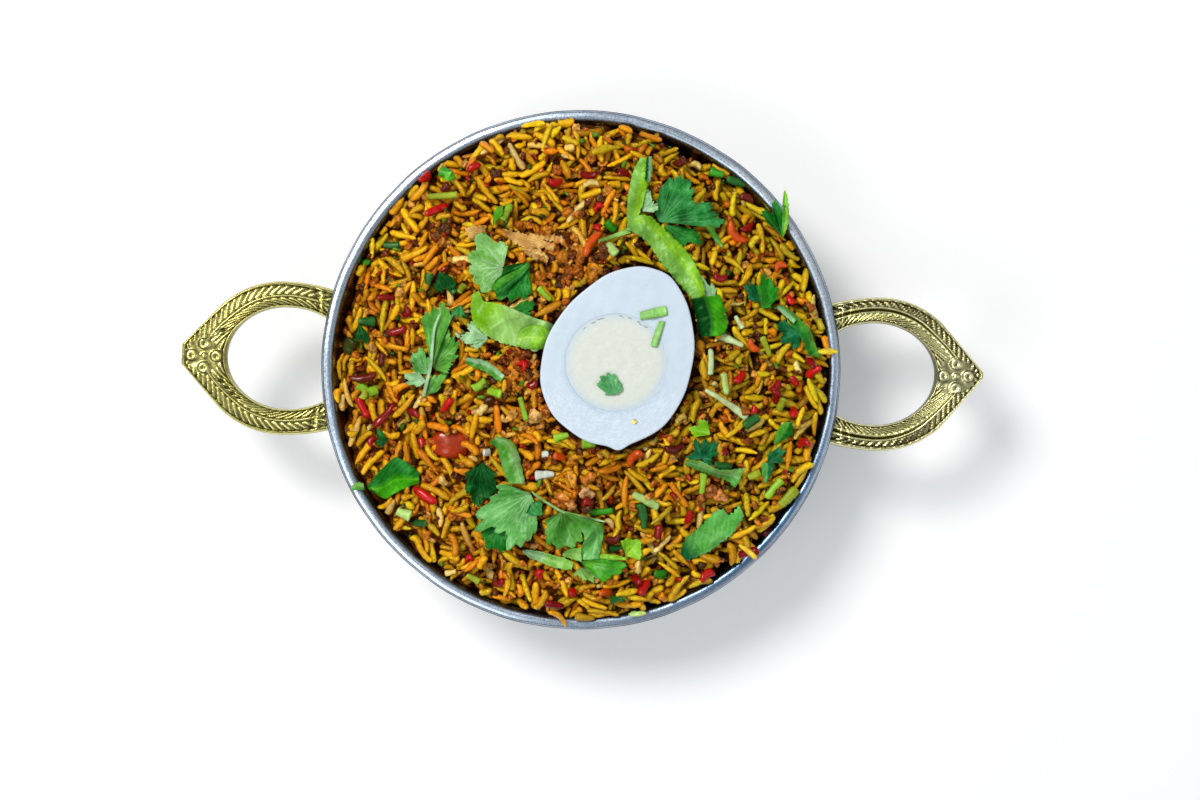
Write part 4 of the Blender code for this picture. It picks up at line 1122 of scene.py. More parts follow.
# Leaves whose lobes spread from the foot: name, foot, heading, lobes (angle from the heading, length, half
# angle), shade, lift of the tip, curl of the edges, least heights at foot and tip, reach of the web
FANS = [
    ("green_c8", (-43.0, 29.5), 300, [(-20, 6.6, 26), (14, 7.5, 30)], "deep", 0.2, 0.2, None, 0.7),
    ("wall_dark", (-68.0, 14.0), 280, [(-14, 6.0, 24), (16, 7.0, 22)], "deep", 0.2, 0.2, None, 0.7),
    ("dark_under_lime", (-22.0, 16.5), 10, [(-14, 8.0, 20), (10, 9.4, 22)], "dark", 0.0, 0.1, None, 0.7),
    ("veined_pale", (-23.2, 30.5), 172,
     [(-76, 8.2, 22), (-44, 12.8, 24), (-12, 11.4, 26), (12, 10.4, 24), (34, 9.9, 24), (56, 10.0, 22),
      (76, 7.6, 22)],
     "pale", 1.0, 0.6, None, 0.85),
    ("dark_folded", (-15.6, 32.1), 238,
     [(-34, 8.8, 16), (-19, 13.8, 16), (-8, 14.8, 14), (7, 13.4, 16), (24, 11.8, 16)],
     "dark", 0.8, 0.9, None, 0.85),
    ("tall_low", (-47.2, -8.0), 42,
     [(-12, 6.0, 16), (3, 10.2, 14), (18, 7.6, 14)],
     "mid", 0.3, 0.3, None, 0.85),
    ("tall_right", (-44.6, 0.4), 45,
     [(-58, 5.8, 16), (-38, 6.6, 16), (-17, 9.2, 14), (-2, 11.4, 12), (9, 12.2, 12), (20, 13.0, 10)],
     "mid", 0.7, 0.5, None, 0.9),
    ("tall_left", (-46.2, -1.6), 115,
     [(-28, 5.4, 14), (-8, 9.0, 16), (8, 8.4, 14), (20, 7.8, 14), (42, 5.6, 18)],
     "soft", 0.5, 0.4, None, 0.85),
    ("tall_left_low", (-46.6, -3.6), 180,
     [(-38, 4.6, 16), (-15, 7.8, 16), (4, 6.6, 16), (26, 3.8, 16)],
     "mint", 0.5, 0.4, None, 0.9),
    ("tall_trefoil", (-44.8, 0.4), 79,
     [(-5, 19.0, 8), (1, 20.6, 8), (9, 18.6, 8), (17, 17.4, 8)],
     "mid", 1.2, 0.9, None, 0.92),
    ("green_small", (-36.0, 19.4), 250, [(-15, 4.6, 26), (20, 4.4, 26)], "teal", 0.3, 0.2, None, 0.8),
    ("dark_fan_low", (25.2, 43.9), -30,
     [(-26, 6.8, 16), (-12, 9.8, 14), (4, 13.4, 12), (13, 12.4, 10)],
     "dark", 0.3, 0.3, None, 0.85),
    ("dark_fan", (24.1, 44.5), 40,
     [(-38, 20.6, 8), (-31, 18.6, 10), (-21, 17.6, 12), (-8, 12.6, 16), (6, 15.2, 12), (15, 16.6, 12),
      (26, 16.4, 12), (36, 14.8, 12), (44, 12.2, 12), (66, 5.6, 16)],
     "teal", 1.8, 0.8, None, 0.9),
    ("upright_pale", (18.9, 47.6), 60, [(-40, 5.4, 30), (18, 7.4, 26)], "mint", 1.0, 0.4, None, 0.75),
    ("long_pale", (40.4, 20.8), 118,
     [(-20, 5.4, 22), (4, 9.6, 14), (22, 7.4, 18)],
     "mint", 0.6, 0.3, None, 0.7),
    ("trefoil_left", (55.0, 20.4), 145,
     [(-40, 6.4, 16), (-26, 7.8, 14), (-10, 7.8, 14), (8, 5.2, 18)],
     "blue", 0.4, 0.4, None, 0.85),
    ("right_trefoil", (55.0, 18.6), 68,
     [(-48, 4.4, 18), (-30, 6.8, 16), (-16, 9.0, 14), (2, 10.6, 14), (16, 10.9, 12), (26, 8.0, 12)],
     "rich", 0.8, 0.5, None, 0.9),
    ("right_blue", (66.7, 11.4), 205,
     [(-42, 7.8, 26), (0, 6.8, 26), (44, 6.0, 26)],
     "blue", 0.3, 0.2, None, 0.8),
    ("over_rim", (61.8, 41.0), 93,
     [(-24, 4.2, 14), (-9, 9.4, 14), (11, 11.4, 13), (36, 10.4, 14)],
     "dark", 0.5, 0.6, (54.0, 57.4), 0.72),
    ("south_dark", (-29.7, -28.0), 267,
     [(-38, 7.8, 18), (-23, 10.9, 16), (-4, 14.0, 18), (14, 12.0, 16), (26, 10.6, 16), (42, 6.6, 18)],
     "deep", 0.4, 0.4, None, 0.9),
    ("south_under", (-24.0, -48.0), 235,
     [(-35, 6.8, 26), (0, 8.0, 26), (35, 7.6, 26), (62, 6.0, 26)],
     "dark", 0.0, 0.2, None, 0.9),
    ("south_big", (-15.0, -37.5), 225,
     [(-57, 10.8, 12), (-36, 13.0, 14), (-22, 18.4, 14), (-11, 20.8, 9), (4, 16.4, 12), (14, 14.8, 10),
      (23, 18.6, 11), (33, 17.0, 12), (42, 14.6, 12), (50, 12.4, 12), (60, 7.5, 14)],
     "soft", 1.0, 0.8, None, 0.85),
    ("curl_teal", (-14.8, -40.2), -50,
     [(-40, 3.8, 30), (0, 5.0, 30), (40, 3.6, 30)],
     "teal", 0.5, 0.5, None, 0.9),
    ("south_veined", (-5.6, -42.6), 268,
     [(-44, 6.6, 16), (-30, 9.2, 14), (-20, 11.6, 14), (-3, 12.2, 14), (18, 12.4, 14), (34, 11.4, 14),
      (50, 9.0, 14)],
     "mid", 0.5, 0.5, None, 0.92),
    ("strip_pale_b", (-0.4, -60.2), -45,
     [(-70, 3.4, 24), (-20, 4.6, 20), (2, 6.6, 16), (20, 7.6, 14), (32, 8.2, 12)],
     "leek", 0.3, 0.3, None, 0.85),
    ("south_bright", (-0.2, -58.4), -9,
     [(-19, 10.6, 16), (-5, 13.4, 12), (4, 14.4, 12), (13, 11.2, 10)],
     "fresh", 0.4, 0.4, None, 0.95),
    ("pair_east", (36.4, -26.8), 64,
     [(-100, 4.0, 26), (-44, 5.6, 20), (-19, 7.2, 20), (13, 6.6, 18), (45, 6.4, 20), (109, 5.0, 24)],
     "blue", 0.5, 0.5, None, 0.7),
    ("east_lime", (39.2, -19.8), 152, [(-26, 6.0, 26), (12, 7.0, 26)], "lime", 0.5, 0.4, None, 0.75),
    ("far_mid", (56.9, -28.2), 38,
     [(-28, 5.2, 18), (-4, 6.8, 16), (12, 6.2, 16), (36, 3.8, 20)],
     "blue", 0.3, 0.3, None, 0.8),
    ("green_north", (-42.0, 57.6), 20, [(0, 4.6, 40)], "fresh", 0.2, 0.1, None, 0.7),
    ("north_green", (-26.4, 43.0), 70, [(0, 7.5, 22)], "fresh", 0.5, 0.2, None, 0.7),
    ("lime_blob", (13.6, -56.5), 40,
     [(-34, 5.2, 26), (6, 6.6, 28), (45, 5.6, 26)],
     "lime", 0.5, 0.2, None, 0.92),
    ("curl_north", (-27.6, 9.0), 165,
     [(-22, 8.0, 28), (12, 8.6, 26), (44, 6.0, 22)],
     "mint", 0.5, 0.6, None, 0.7),
    ("left_dark_a", (-62.0, -18.0), 300, [(0, 4.6, 36)], "dark", 0.1, 0.1, None, 0.7),
    ("left_dark_b", (-58.6, -21.0), 210, [(0, 4.8, 36)], "deep", 0.1, 0.1, None, 0.7),
]
# Folded leaves and strips: name, pairs of edge places (x, y, x, y) from end to end, teeth on the two edges,
# where the rib runs (-1 to 1), whether the second shade lies across it, shades, lift, curl, least heights
STRIPS = [
    ("lime_strip",
     [(-32.8, 22.4, -30.4, 23.6), (-33.1, 17.6, -29.2, 20.2), (-31.9, 13.1, -27.2, 20.3),
      (-28.3, 9.9, -23.4, 19.4), (-24.0, 7.9, -18.6, 17.3), (-19.5, 6.7, -13.7, 15.2),
      (-15.3, 5.8, -9.2, 14.0), (-13.0, 5.2, -7.6, 13.2)],
     (0.5, 0.1), 0.9, False, ("lime", "milky"), 0.7, -0.6, None),
    ("lime_end",
     [(-19.2, 7.0, -18.4, 11.2), (-16.4, 6.2, -15.2, 12.9), (-12.4, 5.8, -11.2, 13.2),
      (-9.6, 6.4, -8.8, 10.6)],
     (0.1, 0.1), 0.0, True, ("lime", "lime"), 0.5, -0.5, None),
    # Its darker second shade is painted shade towards the crease of the fold.
    ("dark_fold_upper",
     [(-15.6, 32.2, -15.0, 30.8), (-18.6, 29.9, -16.8, 28.2), (-21.6, 28.4, -19.8, 25.6),
      (-24.4, 26.6, -22.6, 22.8), (-26.3, 24.4, -25.2, 22.0)],
     (0.2, 0.0), 0.4, True, ("mid", "dark"), 0.5, -0.5, None),
    ("tall_stem",
     [(-48.0, -8.2, -46.8, -8.4), (-46.7, -3.0, -45.6, -3.0), (-45.6, 1.5, -44.5, 1.5),
      (-45.0, 6.8, -44.1, 6.8), (-44.4, 12.3, -43.6, 12.3), (-42.6, 16.4, -42.0, 16.4)],
     (0.0, 0.0), 0.0, True, ("mint",), 0.2, 0.0, None),
    ("pale_strip_b",
     [(-34.4, 1.8, -34.7, 3.6), (-32.4, 0.6, -31.9, 3.2), (-29.4, -0.4, -28.4, 2.6),
      (-26.8, -2.0, -25.3, 0.6), (-23.8, -4.0, -22.6, -2.0)],
     (0.6, 0.2), 0.3, True, ("mid", "mint"), 0.4, 0.3, None),
    ("sprig_stem",
     [(5.6, 37.6, 5.4, 38.8), (10.2, 39.4, 10.0, 40.8), (15.2, 41.0, 14.8, 42.8)],
     (0.0, 0.0), 0.0, True, ("leek",), 0.0, 0.0, None),
    ("upright",
     [(14.1, 42.4, 17.3, 45.5), (14.0, 47.0, 18.5, 48.8), (14.3, 52.4, 19.9, 53.3),
      (15.3, 57.9, 20.7, 57.9), (16.6, 62.1, 21.2, 61.8), (18.3, 64.6, 20.4, 64.2)],
     (0.2, 0.6), 0.2, True, ("leek", "lime"), 1.6, -0.7, None),
    ("upright_dark",
     [(19.6, 57.4, 21.2, 56.6), (19.8, 61.0, 21.8, 60.6), (20.0, 64.6, 21.6, 64.8)],
     (0.3, 0.5), 0.0, True, ("blue", "mint"), 0.9, 0.3, None),
    ("long_sprig",
     [(13.6, 42.2, 17.4, 46.7), (18.4, 40.0, 21.6, 46.2), (21.2, 37.4, 24.6, 43.2),
      (23.0, 34.0, 27.6, 40.2), (25.8, 30.0, 32.6, 35.8), (29.8, 25.9, 35.6, 30.2),
      (32.8, 22.4, 37.4, 25.6), (34.2, 20.2, 37.8, 20.9)],
     (0.5, 0.4), 0.35, True, ("leek", "lime"), 0.6, -0.9, None),
    ("beside_egg",
     [(33.4, 21.2, 42.2, 22.6), (34.4, 18.0, 43.6, 18.6), (35.2, 14.5, 44.6, 14.6),
      (35.6, 11.6, 44.2, 11.6), (36.6, 9.8, 42.0, 10.0)],
     (0.0, 0.35), -0.1, True, ("deep", "fresh"), 0.5, -0.8, None),
    ("thin_blade",
     [(37.6, 43.6, 39.2, 44.2), (40.0, 40.6, 41.8, 41.0), (42.4, 37.2, 43.4, 37.4)],
     (0.2, 0.2), 0.0, True, ("mid",), 0.5, 0.3, None),
    ("right_blade",
     [(60.2, 18.6, 61.6, 20.0), (62.4, 16.2, 65.0, 17.8), (64.6, 13.6, 68.4, 14.2),
      (66.6, 10.4, 71.2, 10.8), (68.4, 7.2, 72.2, 7.2), (69.6, 4.4, 72.8, 3.6)],
     (0.2, 0.3), 0.8, True, ("dark", "mid"), 0.5, -0.5, None),
    ("blade_tip",
     [(59.8, 18.8, 60.8, 19.9), (62.2, 16.6, 63.6, 18.3), (65.0, 14.0, 66.0, 15.4)],
     (0.2, 0.2), 0.0, True, ("mint", "soft"), 0.3, -0.2, None),
    ("over_rim_fold",
     [(61.2, 40.6, 62.2, 40.4), (61.4, 45.0, 63.6, 45.6), (61.6, 50.0, 63.6, 50.6),
      (62.0, 54.4, 62.6, 54.8)],
     (0.0, 0.3), 0.0, True, ("fresh", "lime"), 0.0, 0.2, (55.4, 57.8)),
    ("left_folded",
     [(-65.1, -36.9, -65.5, -35.5), (-62.0, -38.9, -62.8, -32.5), (-59.6, -39.8, -59.8, -29.3),
      (-57.6, -38.3, -56.3, -26.2), (-54.4, -36.5, -52.8, -28.3), (-49.1, -34.5, -49.1, -31.3)],
     (0.1, 0.1), -0.25, True, ("fresh", "dark"), 0.4, -1.2, None),
    ("left_tail",
     [(-66.2, -36.7, -66.6, -34.6), (-68.0, -36.9, -68.4, -34.4), (-70.5, -36.9, -70.0, -35.6)],
     (0.4, 0.4), 0.0, True, ("mid", "leek"), 0.0, 0.0, (55.4, 56.6)),
    ("south_blade",
     [(-27.6, -22.1, -25.0, -20.1), (-24.9, -23.8, -20.3, -21.7), (-24.0, -27.5, -18.3, -25.4),
      (-22.8, -31.1, -17.5, -29.8), (-21.5, -34.4, -16.6, -34.4)],
     (0.2, 0.3), 0.5, True, ("mid", "pale"), 0.7, -0.6, None),
    ("south_stem",
     [(-14.9, -36.4, -14.1, -37.8), (-9.9, -39.8, -9.3, -41.0), (-5.2, -42.5, -4.8, -43.6),
      (0.2, -43.9, 0.4, -45.0), (4.6, -45.0, 4.8, -45.9), (7.4, -45.8, 7.4, -46.3)],
     (0.0, 0.0), 0.0, True, ("leek", "mint"), 0.3, -0.2, None),
    ("south_pointed",
     [(-4.6, -43.2, -2.6, -43.4), (-3.2, -45.0, 1.6, -45.0), (-0.6, -47.4, 7.0, -46.6),
      (1.6, -50.6, 7.0, -50.2), (0.2, -54.0, 6.2, -54.0), (-0.4, -57.8, 5.8, -57.4)],
     (0.1, 0.2), 0.3, False, ("mid", "soft"), 0.6, -0.6, None),
    ("strip_pale",
     [(-17.4, -55.6, -17.6, -54.6), (-15.6, -57.2, -14.6, -54.9), (-12.4, -58.6, -11.2, -55.6),
      (-8.8, -60.0, -7.6, -56.6), (-5.4, -60.9, -4.4, -57.4), (-2.6, -60.6, -2.2, -58.6)],
     (0.3, 0.2), 0.0, False, ("mint", "leek"), 0.5, 0.3, None),
    ("south_light_a",
     [(-5.6, -56.6, -5.0, -55.2), (-2.8, -57.4, -2.6, -54.1), (0.4, -58.2, 0.2, -54.0)],
     (0.1, 0.1), 0.0, True, ("leek",), 0.3, 0.2, None),
    ("south_light_b",
     [(5.9, -57.1, 6.1, -55.7), (9.6, -57.7, 10.2, -56.1), (13.8, -57.8, 14.0, -57.0)],
     (0.1, 0.1), 0.0, True, ("lime",), 0.4, 0.2, None),
    ("east_lobe",
     [(31.5, -28.8, 31.8, -27.1), (35.5, -30.5, 36.4, -27.6), (40.6, -32.4, 41.2, -30.2),
      (44.4, -33.6, 45.6, -30.3), (46.8, -36.0, 50.0, -29.8)],
     (0.5, 0.3), 0.0, True, ("soft", "pale"), 0.9, -0.3, None),
    ("far_east",
     [(59.0, -22.9, 60.8, -21.9), (59.0, -20.2, 62.7, -21.1), (60.4, -17.6, 64.5, -19.6),
      (62.1, -15.8, 64.3, -16.2)],
     (0.4, 0.5), 0.0, True, ("mid", "dark"), 0.5, 0.3, None),
    ("far_east_low",
     [(55.2, -28.5, 58.6, -28.2), (54.9, -30.8, 58.9, -29.6), (55.4, -33.1, 57.8, -31.6),
      (56.1, -34.8, 56.9, -33.6)],
     (0.2, 0.4), 0.0, True, ("soft", "blue"), 0.4, 0.3, None),
    ("pale_big",
     [(32.4, -58.2, 30.1, -55.5), (35.8, -56.9, 31.7, -51.9), (39.5, -55.4, 35.6, -48.3),
      (43.2, -52.6, 38.8, -45.4), (46.1, -50.0, 42.6, -41.7), (47.8, -47.6, 45.3, -44.6),
      (49.7, -44.6, 48.3, -41.4)],
     (0.6, 0.9), -0.9, False, ("blue", "soft"), 0.8, -0.7, None),
]
FIRST_PART = 1.6  # fifths of a strip's length that its first shade takes up
FIRST_PARTS = {"pale_big": 0.3, "south_pointed": 2.0}
# The CAD's name for a piece, where it isn't leaf_ and the piece's own
CAD_NODES = {"upright": "sprig_upright", "long_sprig": "sprig_long", "chicken_flake_long": "chicken_flake"}
# Shades of the leaves with a darker sheen
DARK_TONES = {"deep", "dark", "blue", "teal", "rich"}


def build_leaves():
    """Every leaf of the two tables, in their order, so that later ones lie on earlier ones."""
    for name, foot, heading, lobes, shade, lift, curl, rise, web in FANS:
        grid = fan_grid(foot, heading, lobes, TEETH.get(name, 1.0), web)
        made_of = dark_leaf_finish if shade in DARK_TONES else leaf_finish
        sheet_piece(name, grid, (shade,), lift, curl, rise, made_of=made_of)
    for name, stations, teeth, rib, across, shades, lift, curl, rise in STRIPS:
        grid = strip_grid(stations, teeth, rib, across, first_part=FIRST_PARTS.get(name, FIRST_PART))
        made_of = dark_leaf_finish if DARK_TONES.intersection(shades) else leaf_finish
        sheet_piece(name, grid, shades, lift, curl, rise, made_of=made_of)


FLAKES = [  # name, pairs of edge places, thickness
    ("chicken_flake_long",
     [(-22.8, 40.8, -23.6, 42.4), (-19.6, 37.4, -19.0, 41.2), (-15.4, 35.8, -14.6, 40.8),
      (-11.6, 36.2, -11.4, 40.2), (-8.0, 35.6, -7.6, 37.2)],
     1.1),
    ("chicken_flake_side",
     [(-11.0, 39.0, -10.4, 40.8), (-7.2, 38.0, -6.6, 40.4), (-3.8, 36.2, -3.2, 37.4)],
     1.0),
    ("chicken_flake_low",
     [(-16.6, 34.6, -17.4, 36.6), (-13.0, 32.6, -12.6, 36.0), (-10.0, 31.8, -9.2, 34.0)],
     0.9),
    ("chicken_flake_north",
     [(-33.6, 39.4, -35.0, 42.6), (-30.6, 38.2, -31.8, 43.2), (-28.0, 39.8, -28.8, 42.6)],
     1.6),
]


def build_chicken():
    """The pale flake of meat at the back, and smaller ones elsewhere."""
    for name, stations, thick in FLAKES:
        grid = strip_grid(stations, (1.0, 1.0), fibres=True)
        sheet_piece(name, grid, ("meat",), 0.3, -0.9, None, thick, 1.0, meat_finish)


# The egg

def egg_outline(turns):
    """Outline of the cut face, with the small spur at its lower end."""
    along = np.cos(turns)
    x = 0.5 * EGG_LENGTH * along
    y = 0.5 * EGG_WIDTH * np.sin(turns) * (1.0 + EGG_TAPER * along)
    px, py = turned(x, y, EGG_TURN)
    towards = np.arctan2(py, px)
    spur = 1.0 + 0.05 * bell((towards + math.radians(91.5)) / 0.09)
    uneven = 1.0 + 0.004 * np.sin(7 * turns) + 0.003 * np.sin(13 * turns + 1.0)
    return px * spur * uneven, py * spur * uneven


def build_egg_white():
    """The white: up the side, over the cut face and down into the hollow of the yolk."""
    columns = 200
    turns = circle(columns)
    ex, ey = egg_outline(turns)
    cx, cy = EGG_CENTRE
    mx, my = YOLK_CENTRE
    side_top = EGG_TOP - 0.6
    lowest = side_top - 0.5 * EGG_WIDTH
    hollow = YOLK_RADII[2] + 0.12
    rows = []
    for k in range(1, 15):
        a = math.pi / 2 * (1 - k / 14)
        height = side_top - 0.5 * EGG_WIDTH * math.sin(a)
        rows.append(ring_at(cx + ex * math.cos(a), cy + ey * math.cos(a), height))
    for shrink, drop in ((0.998, 0.22), (0.990, 0.04)):
        rows.append(ring_at(cx + ex * shrink, cy + ey * shrink, EGG_TOP - drop))
    spin = np.arctan2(ey + cy - my, ex + cx - mx)
    yx = mx + (YOLK_RADII[0] + 0.05) * np.cos(spin)
    yy = my + (YOLK_RADII[1] + 0.05) * np.sin(spin)
    for k in range(1, 41):
        share = k / 40
        x = (1 - share) * (cx + ex * 0.985) + share * yx
        y = (1 - share) * (cy + ey * 0.985) + share * yy
        dents = 0.05 * np.sin(0.9 * x + 0.4 * y) * np.sin(0.7 * y - 0.3 * x + 1.0)
        rows.append(ring_at(x, y, EGG_TOP + dents * math.sin(math.pi * share)))
    for k in range(1, 10):
        a = math.pi / 2 * k / 10
        x, y = mx + (yx - mx) * math.cos(a), my + (yy - my) * math.cos(a)
        rows.append(ring_at(x, y, EGG_TOP - hollow * math.sin(a)))
    points, faces = revolve(rows, (cx, cy, lowest), (mx, my, EGG_TOP - hollow))
    far = np.hypot((points[:, 0] - mx) / YOLK_RADII[0], (points[:, 1] - my) / YOLK_RADII[1])
    towards = np.arctan2(points[:, 1] - my, points[:, 0] - mx)
    # Painted shadow: a darker ring round the yolk, deepest at its lower edge. Paler spots on the lower part
    # of the white are a painted sheen of moisture.
    painted_shadow_ring = bell((far - 1.0) / 0.09) * (0.55 - 0.45 * np.sin(towards + math.radians(20)))
    dice = np.random.default_rng(12)
    painted_sheen_spots = (dice.random(len(points)) < 0.25) * clamp((cy - 6.0 - points[:, 1]) / 8.0)
    share = 0.5 * painted_shadow_ring[:, None]
    tints = linear((211, 225, 236)) * (1 - share) + linear((178, 198, 216)) * share
    tints = tints + 0.10 * painted_sheen_spots[:, None]
    make_piece("egg_white_cut", (points, faces, tints), white_finish, ["egg_white"])


def build_egg_yolk():
    """The yolk: a dry, faintly ringed face, with a broken dark line of painted shade where it has cracked
    near its upper edge.
    """
    columns = 190
    turns = circle(columns)
    rows, tints = [], []
    # Cream, the bluish rim of the face, and the painted shade where it has cracked
    cream, ring, crack_shade = linear((224, 228, 216)), linear((206, 220, 226)), linear((96, 104, 84))

    def add_row(share, height):
        x = YOLK_CENTRE[0] + YOLK_RADII[0] * share * np.cos(turns)
        y = YOLK_CENTRE[1] + YOLK_RADII[1] * share * np.sin(turns)
        rows.append(ring_at(x, y, height))
        edge = np.full(columns, clamp((share - 0.84) / 0.16) ** 0.8)
        # Painted shade where the yolk has cracked: a broken grey-green line near its upper edge.
        wander = 0.955 + 0.012 * np.sin(5 * turns) + 0.012 * np.sin(29 * turns + 1.0)
        wander = wander + 0.012 * np.sin(61 * turns)
        upper = clamp((np.sin(turns - math.radians(4)) - 0.62) / 0.1)
        broken = clamp(np.sin(31 * turns) + np.sin(13 * turns + 2.0) + np.sin(7 * turns) - 0.1)
        line = 0.9 * bell((share - wander) / 0.011) * upper * broken
        tint = cream * (1 - edge)[:, None] + ring * edge[:, None]
        tints.append(tint * (1 - line)[:, None] + crack_shade * line[:, None])

    for k in range(1, 8):
        a = math.pi / 2 * (1 - k / 8)
        add_row(math.cos(a), EGG_TOP - YOLK_RADII[2] * math.sin(a))
    add_row(1.016, EGG_TOP - 0.10)
    for share in np.concatenate([np.linspace(1.012, 0.80, 38), np.linspace(0.77, 0.06, 22)]):
        bump = 0.10 * math.sin(21 * share) * (1 - share)
        add_row(share, EGG_TOP - 0.02 + 0.25 * (1 - share**6) + bump)
    points, faces = revolve(rows, (*YOLK_CENTRE, EGG_TOP - YOLK_RADII[2]), (*YOLK_CENTRE, EGG_TOP + 0.2))
    tints = np.concatenate([*tints, np.array([cream, cream])])
    make_piece("egg_yolk_cut", (points, faces, tints), yolk_finish, ["egg_yolk"])


def dress_egg():
    """The leaf, two bits of stalk and the crumb of yolk on the cut face."""
    field[EGG_MASK] = EGG_TOP + 0.15
    lobes = [
        (-57, 3.2, 16), (-37, 4.4, 16), (-11, 6.6, 14), (5, 7.5, 13),
        (23, 7.6, 14), (43, 6.9, 14), (62, 3.6, 16),
    ]
    grid = fan_grid((10.6, -7.8), 105, lobes, 0.6, 0.9, 1.8)
    sheet_piece("leaf_on_egg", grid, ("egg_leaf",), 0.2, 0.2, None, 0.2, 0.8)
    for label, stations in (
        ("a", [(18.0, 14.6, 17.8, 16.9), (22.1, 15.1, 21.8, 17.9), (26.0, 16.0, 25.5, 18.8)]),
        ("b", [(25.3, 14.2, 23.5, 14.2), (24.1, 10.2, 22.1, 10.6), (22.8, 6.5, 20.9, 6.9)]),
    ):
        sheet_piece(f"stalk_on_egg_{label}", strip_grid(stations), ("stalk",), 0.1, -0.3, None, 0.4, 0.8)
    crumb = (16.2, -15.8, EGG_TOP, 0.8, 0.8, 0.6, 0.3, *linear((252, 236, 150)))
    make_piece("yolk_crumb", lump_meshes([crumb], 0.5), crumb_finish)


# The bowl

def bowl_rows():
    """Half section of the bowl in fine steps, up the outside, round the rolled edge and down the inside."""
    def arc(centre, radius, start, end, steps):
        turns = np.linspace(start, end, steps)
        return [(centre[0] + radius * math.cos(a), centre[1] + radius * math.sin(a)) for a in turns]

    corner = (BASE_RADIUS, CORNER_RADIUS)
    fat = 1.15 * BEAD_RADIUS
    wide = 1.9  # half width of the bead and the flat of the lip beside it
    rows = [(r, 0.0) for r in (12.0, 26.0, 34.0)]
    rows += arc(corner, CORNER_RADIUS, -math.pi / 2, -WALL_LEAN, 14)
    for height in (30.0, 38.0, 45.0, NECK_HEIGHT - 1.0, NECK_HEIGHT):
        rows.append((float(wall_radius(height)), height))
    for turn in np.radians(np.linspace(-70, 165, 40)):
        # The lip is flatter inside and ends in a thin roll at its outer edge.
        out = RIM_RADIUS - wide + wide * math.cos(turn)
        up = math.sin(turn) if turn < math.pi / 2 else math.sin(turn) ** 0.8
        roll = 0.12 * math.exp(-(((out - 79.2) / 0.3) ** 2)) if turn > 0 else 0.0
        rows.append((out, RIM_HEIGHT - fat + fat * up + roll))
    inner = float(wall_radius(NECK_HEIGHT, WALL))
    for out, up in ((0.38, 1.9), (0.30, 1.5), (0.2, 1.0), (0.1, 0.5), (0.0, 0.0)):
        rows.append((inner + out, NECK_HEIGHT + up))
    for height in (49.0, 46.0, 43.0, 38.0, 30.0):
        rows.append((float(wall_radius(height, WALL)), height))
    rows += arc(corner, CORNER_RADIUS - WALL, -WALL_LEAN, -math.pi / 2, 14)[1:]
    rows += [(r, WALL) for r in (26.0, 12.0)]
    return rows


def build_bowl():
    """The kadai: its section turned round the axis, a little uneven at the rim."""
    columns = 320
    turns = circle(columns)
    dice = np.random.default_rng(8)
    rows = []
    for radius, height in bowl_rows():
        near_lip = clamp((height - 49.0) / 6.0)
        hammer = dice.standard_normal(columns)
        hammer = sum(np.roll(hammer, k) for k in range(5))
        hammer = 0.003 * clamp((height - 53.5) / 1.0) * hammer * (0.3 + 0.7 * np.sin(turns) ** 2)
        wobble = 0.06 * np.sin(9 * turns + 0.5) + 0.04 * np.sin(23 * turns) + 0.03 * np.sin(41 * turns + 2.0)
        sway = 0.10 * np.sin(3 * turns + 1.0) + 0.05 * np.sin(17 * turns)
        out = radius + near_lip * wobble - 0.12 * near_lip
        up = height + near_lip * sway + hammer - 0.2 * near_lip
        rows.append(ring_at(out * np.cos(turns), out * np.sin(turns), up))
    points, faces = revolve(rows, (0.0, 0.0, 0.0), (0.0, 0.0, WALL))
    make_piece("kadai", (points, faces, bowl_tints(points)), steel_finish, ["bowl"])


def bowl_tints(points):
    """Grey outside and bluish on the rim, the outer edge of the roll dark with grime and painted shade,
    painted shade on the inner lip, a painted dark reflection and a painted highlight on the lip, and inside,
    stains from the food darkened with painted shade.
    """
    heights = points[:, 2]
    reach = np.hypot(points[:, 0], points[:, 1])
    towards = np.arctan2(points[:, 1], points[:, 0])
    inside = reach < wall_radius(heights, 0.5 * WALL)
    on_lip = clamp((heights - 53.0) / 0.5)
    outside = (~inside * clamp((LIP_HEIGHT - heights) / 2.0))[:, None]
    tints = linear((182, 195, 210)) * (1 - outside) + linear((150, 151, 152)) * outside
    # Painted shade and dark reflection, partly also grime: the outermost edge of the roll is dark.
    grime_and_shade = clamp((reach - 79.45) / 0.15)[:, None]
    tints = tints * (1 - grime_and_shade) + linear((66, 72, 84)) * grime_and_shade
    # Painted shade: the inner part of the lip is darker.
    tints = tints * (1.0 - 0.5 * (clamp((77.4 - reach) / 0.5) * on_lip)[:, None])
    # Painted dark reflection, partly also a duller finish: a darker blue patch on the inner lip towards the
    # lower right.
    dull_and_dark_reflection = around(towards, 318, 34) * clamp((78.9 - reach) / 0.5) * on_lip
    tints = tints * (1.0 - dull_and_dark_reflection[:, None] * np.array([0.72, 0.58, 0.42]))
    # Painted highlight: a brighter band on the lip towards the upper right.
    painted_highlight = around(towards, 33, 24) * clamp(1.0 - np.abs(reach - 78.2) / 0.9) * (heights > 53.0)
    tints = tints * (1.0 + painted_highlight[:, None] * np.array([1.1, 0.85, 0.6]))
    # Stains from the food, darkened further with painted shade: the inside below the lip is brown.
    stain_and_shade = ((inside & (heights < 53.0)) * clamp((53.2 - heights) / 2.0))[:, None]
    return tints * (1 - stain_and_shade) + linear((84, 62, 40)) * stain_and_shade


# The handles

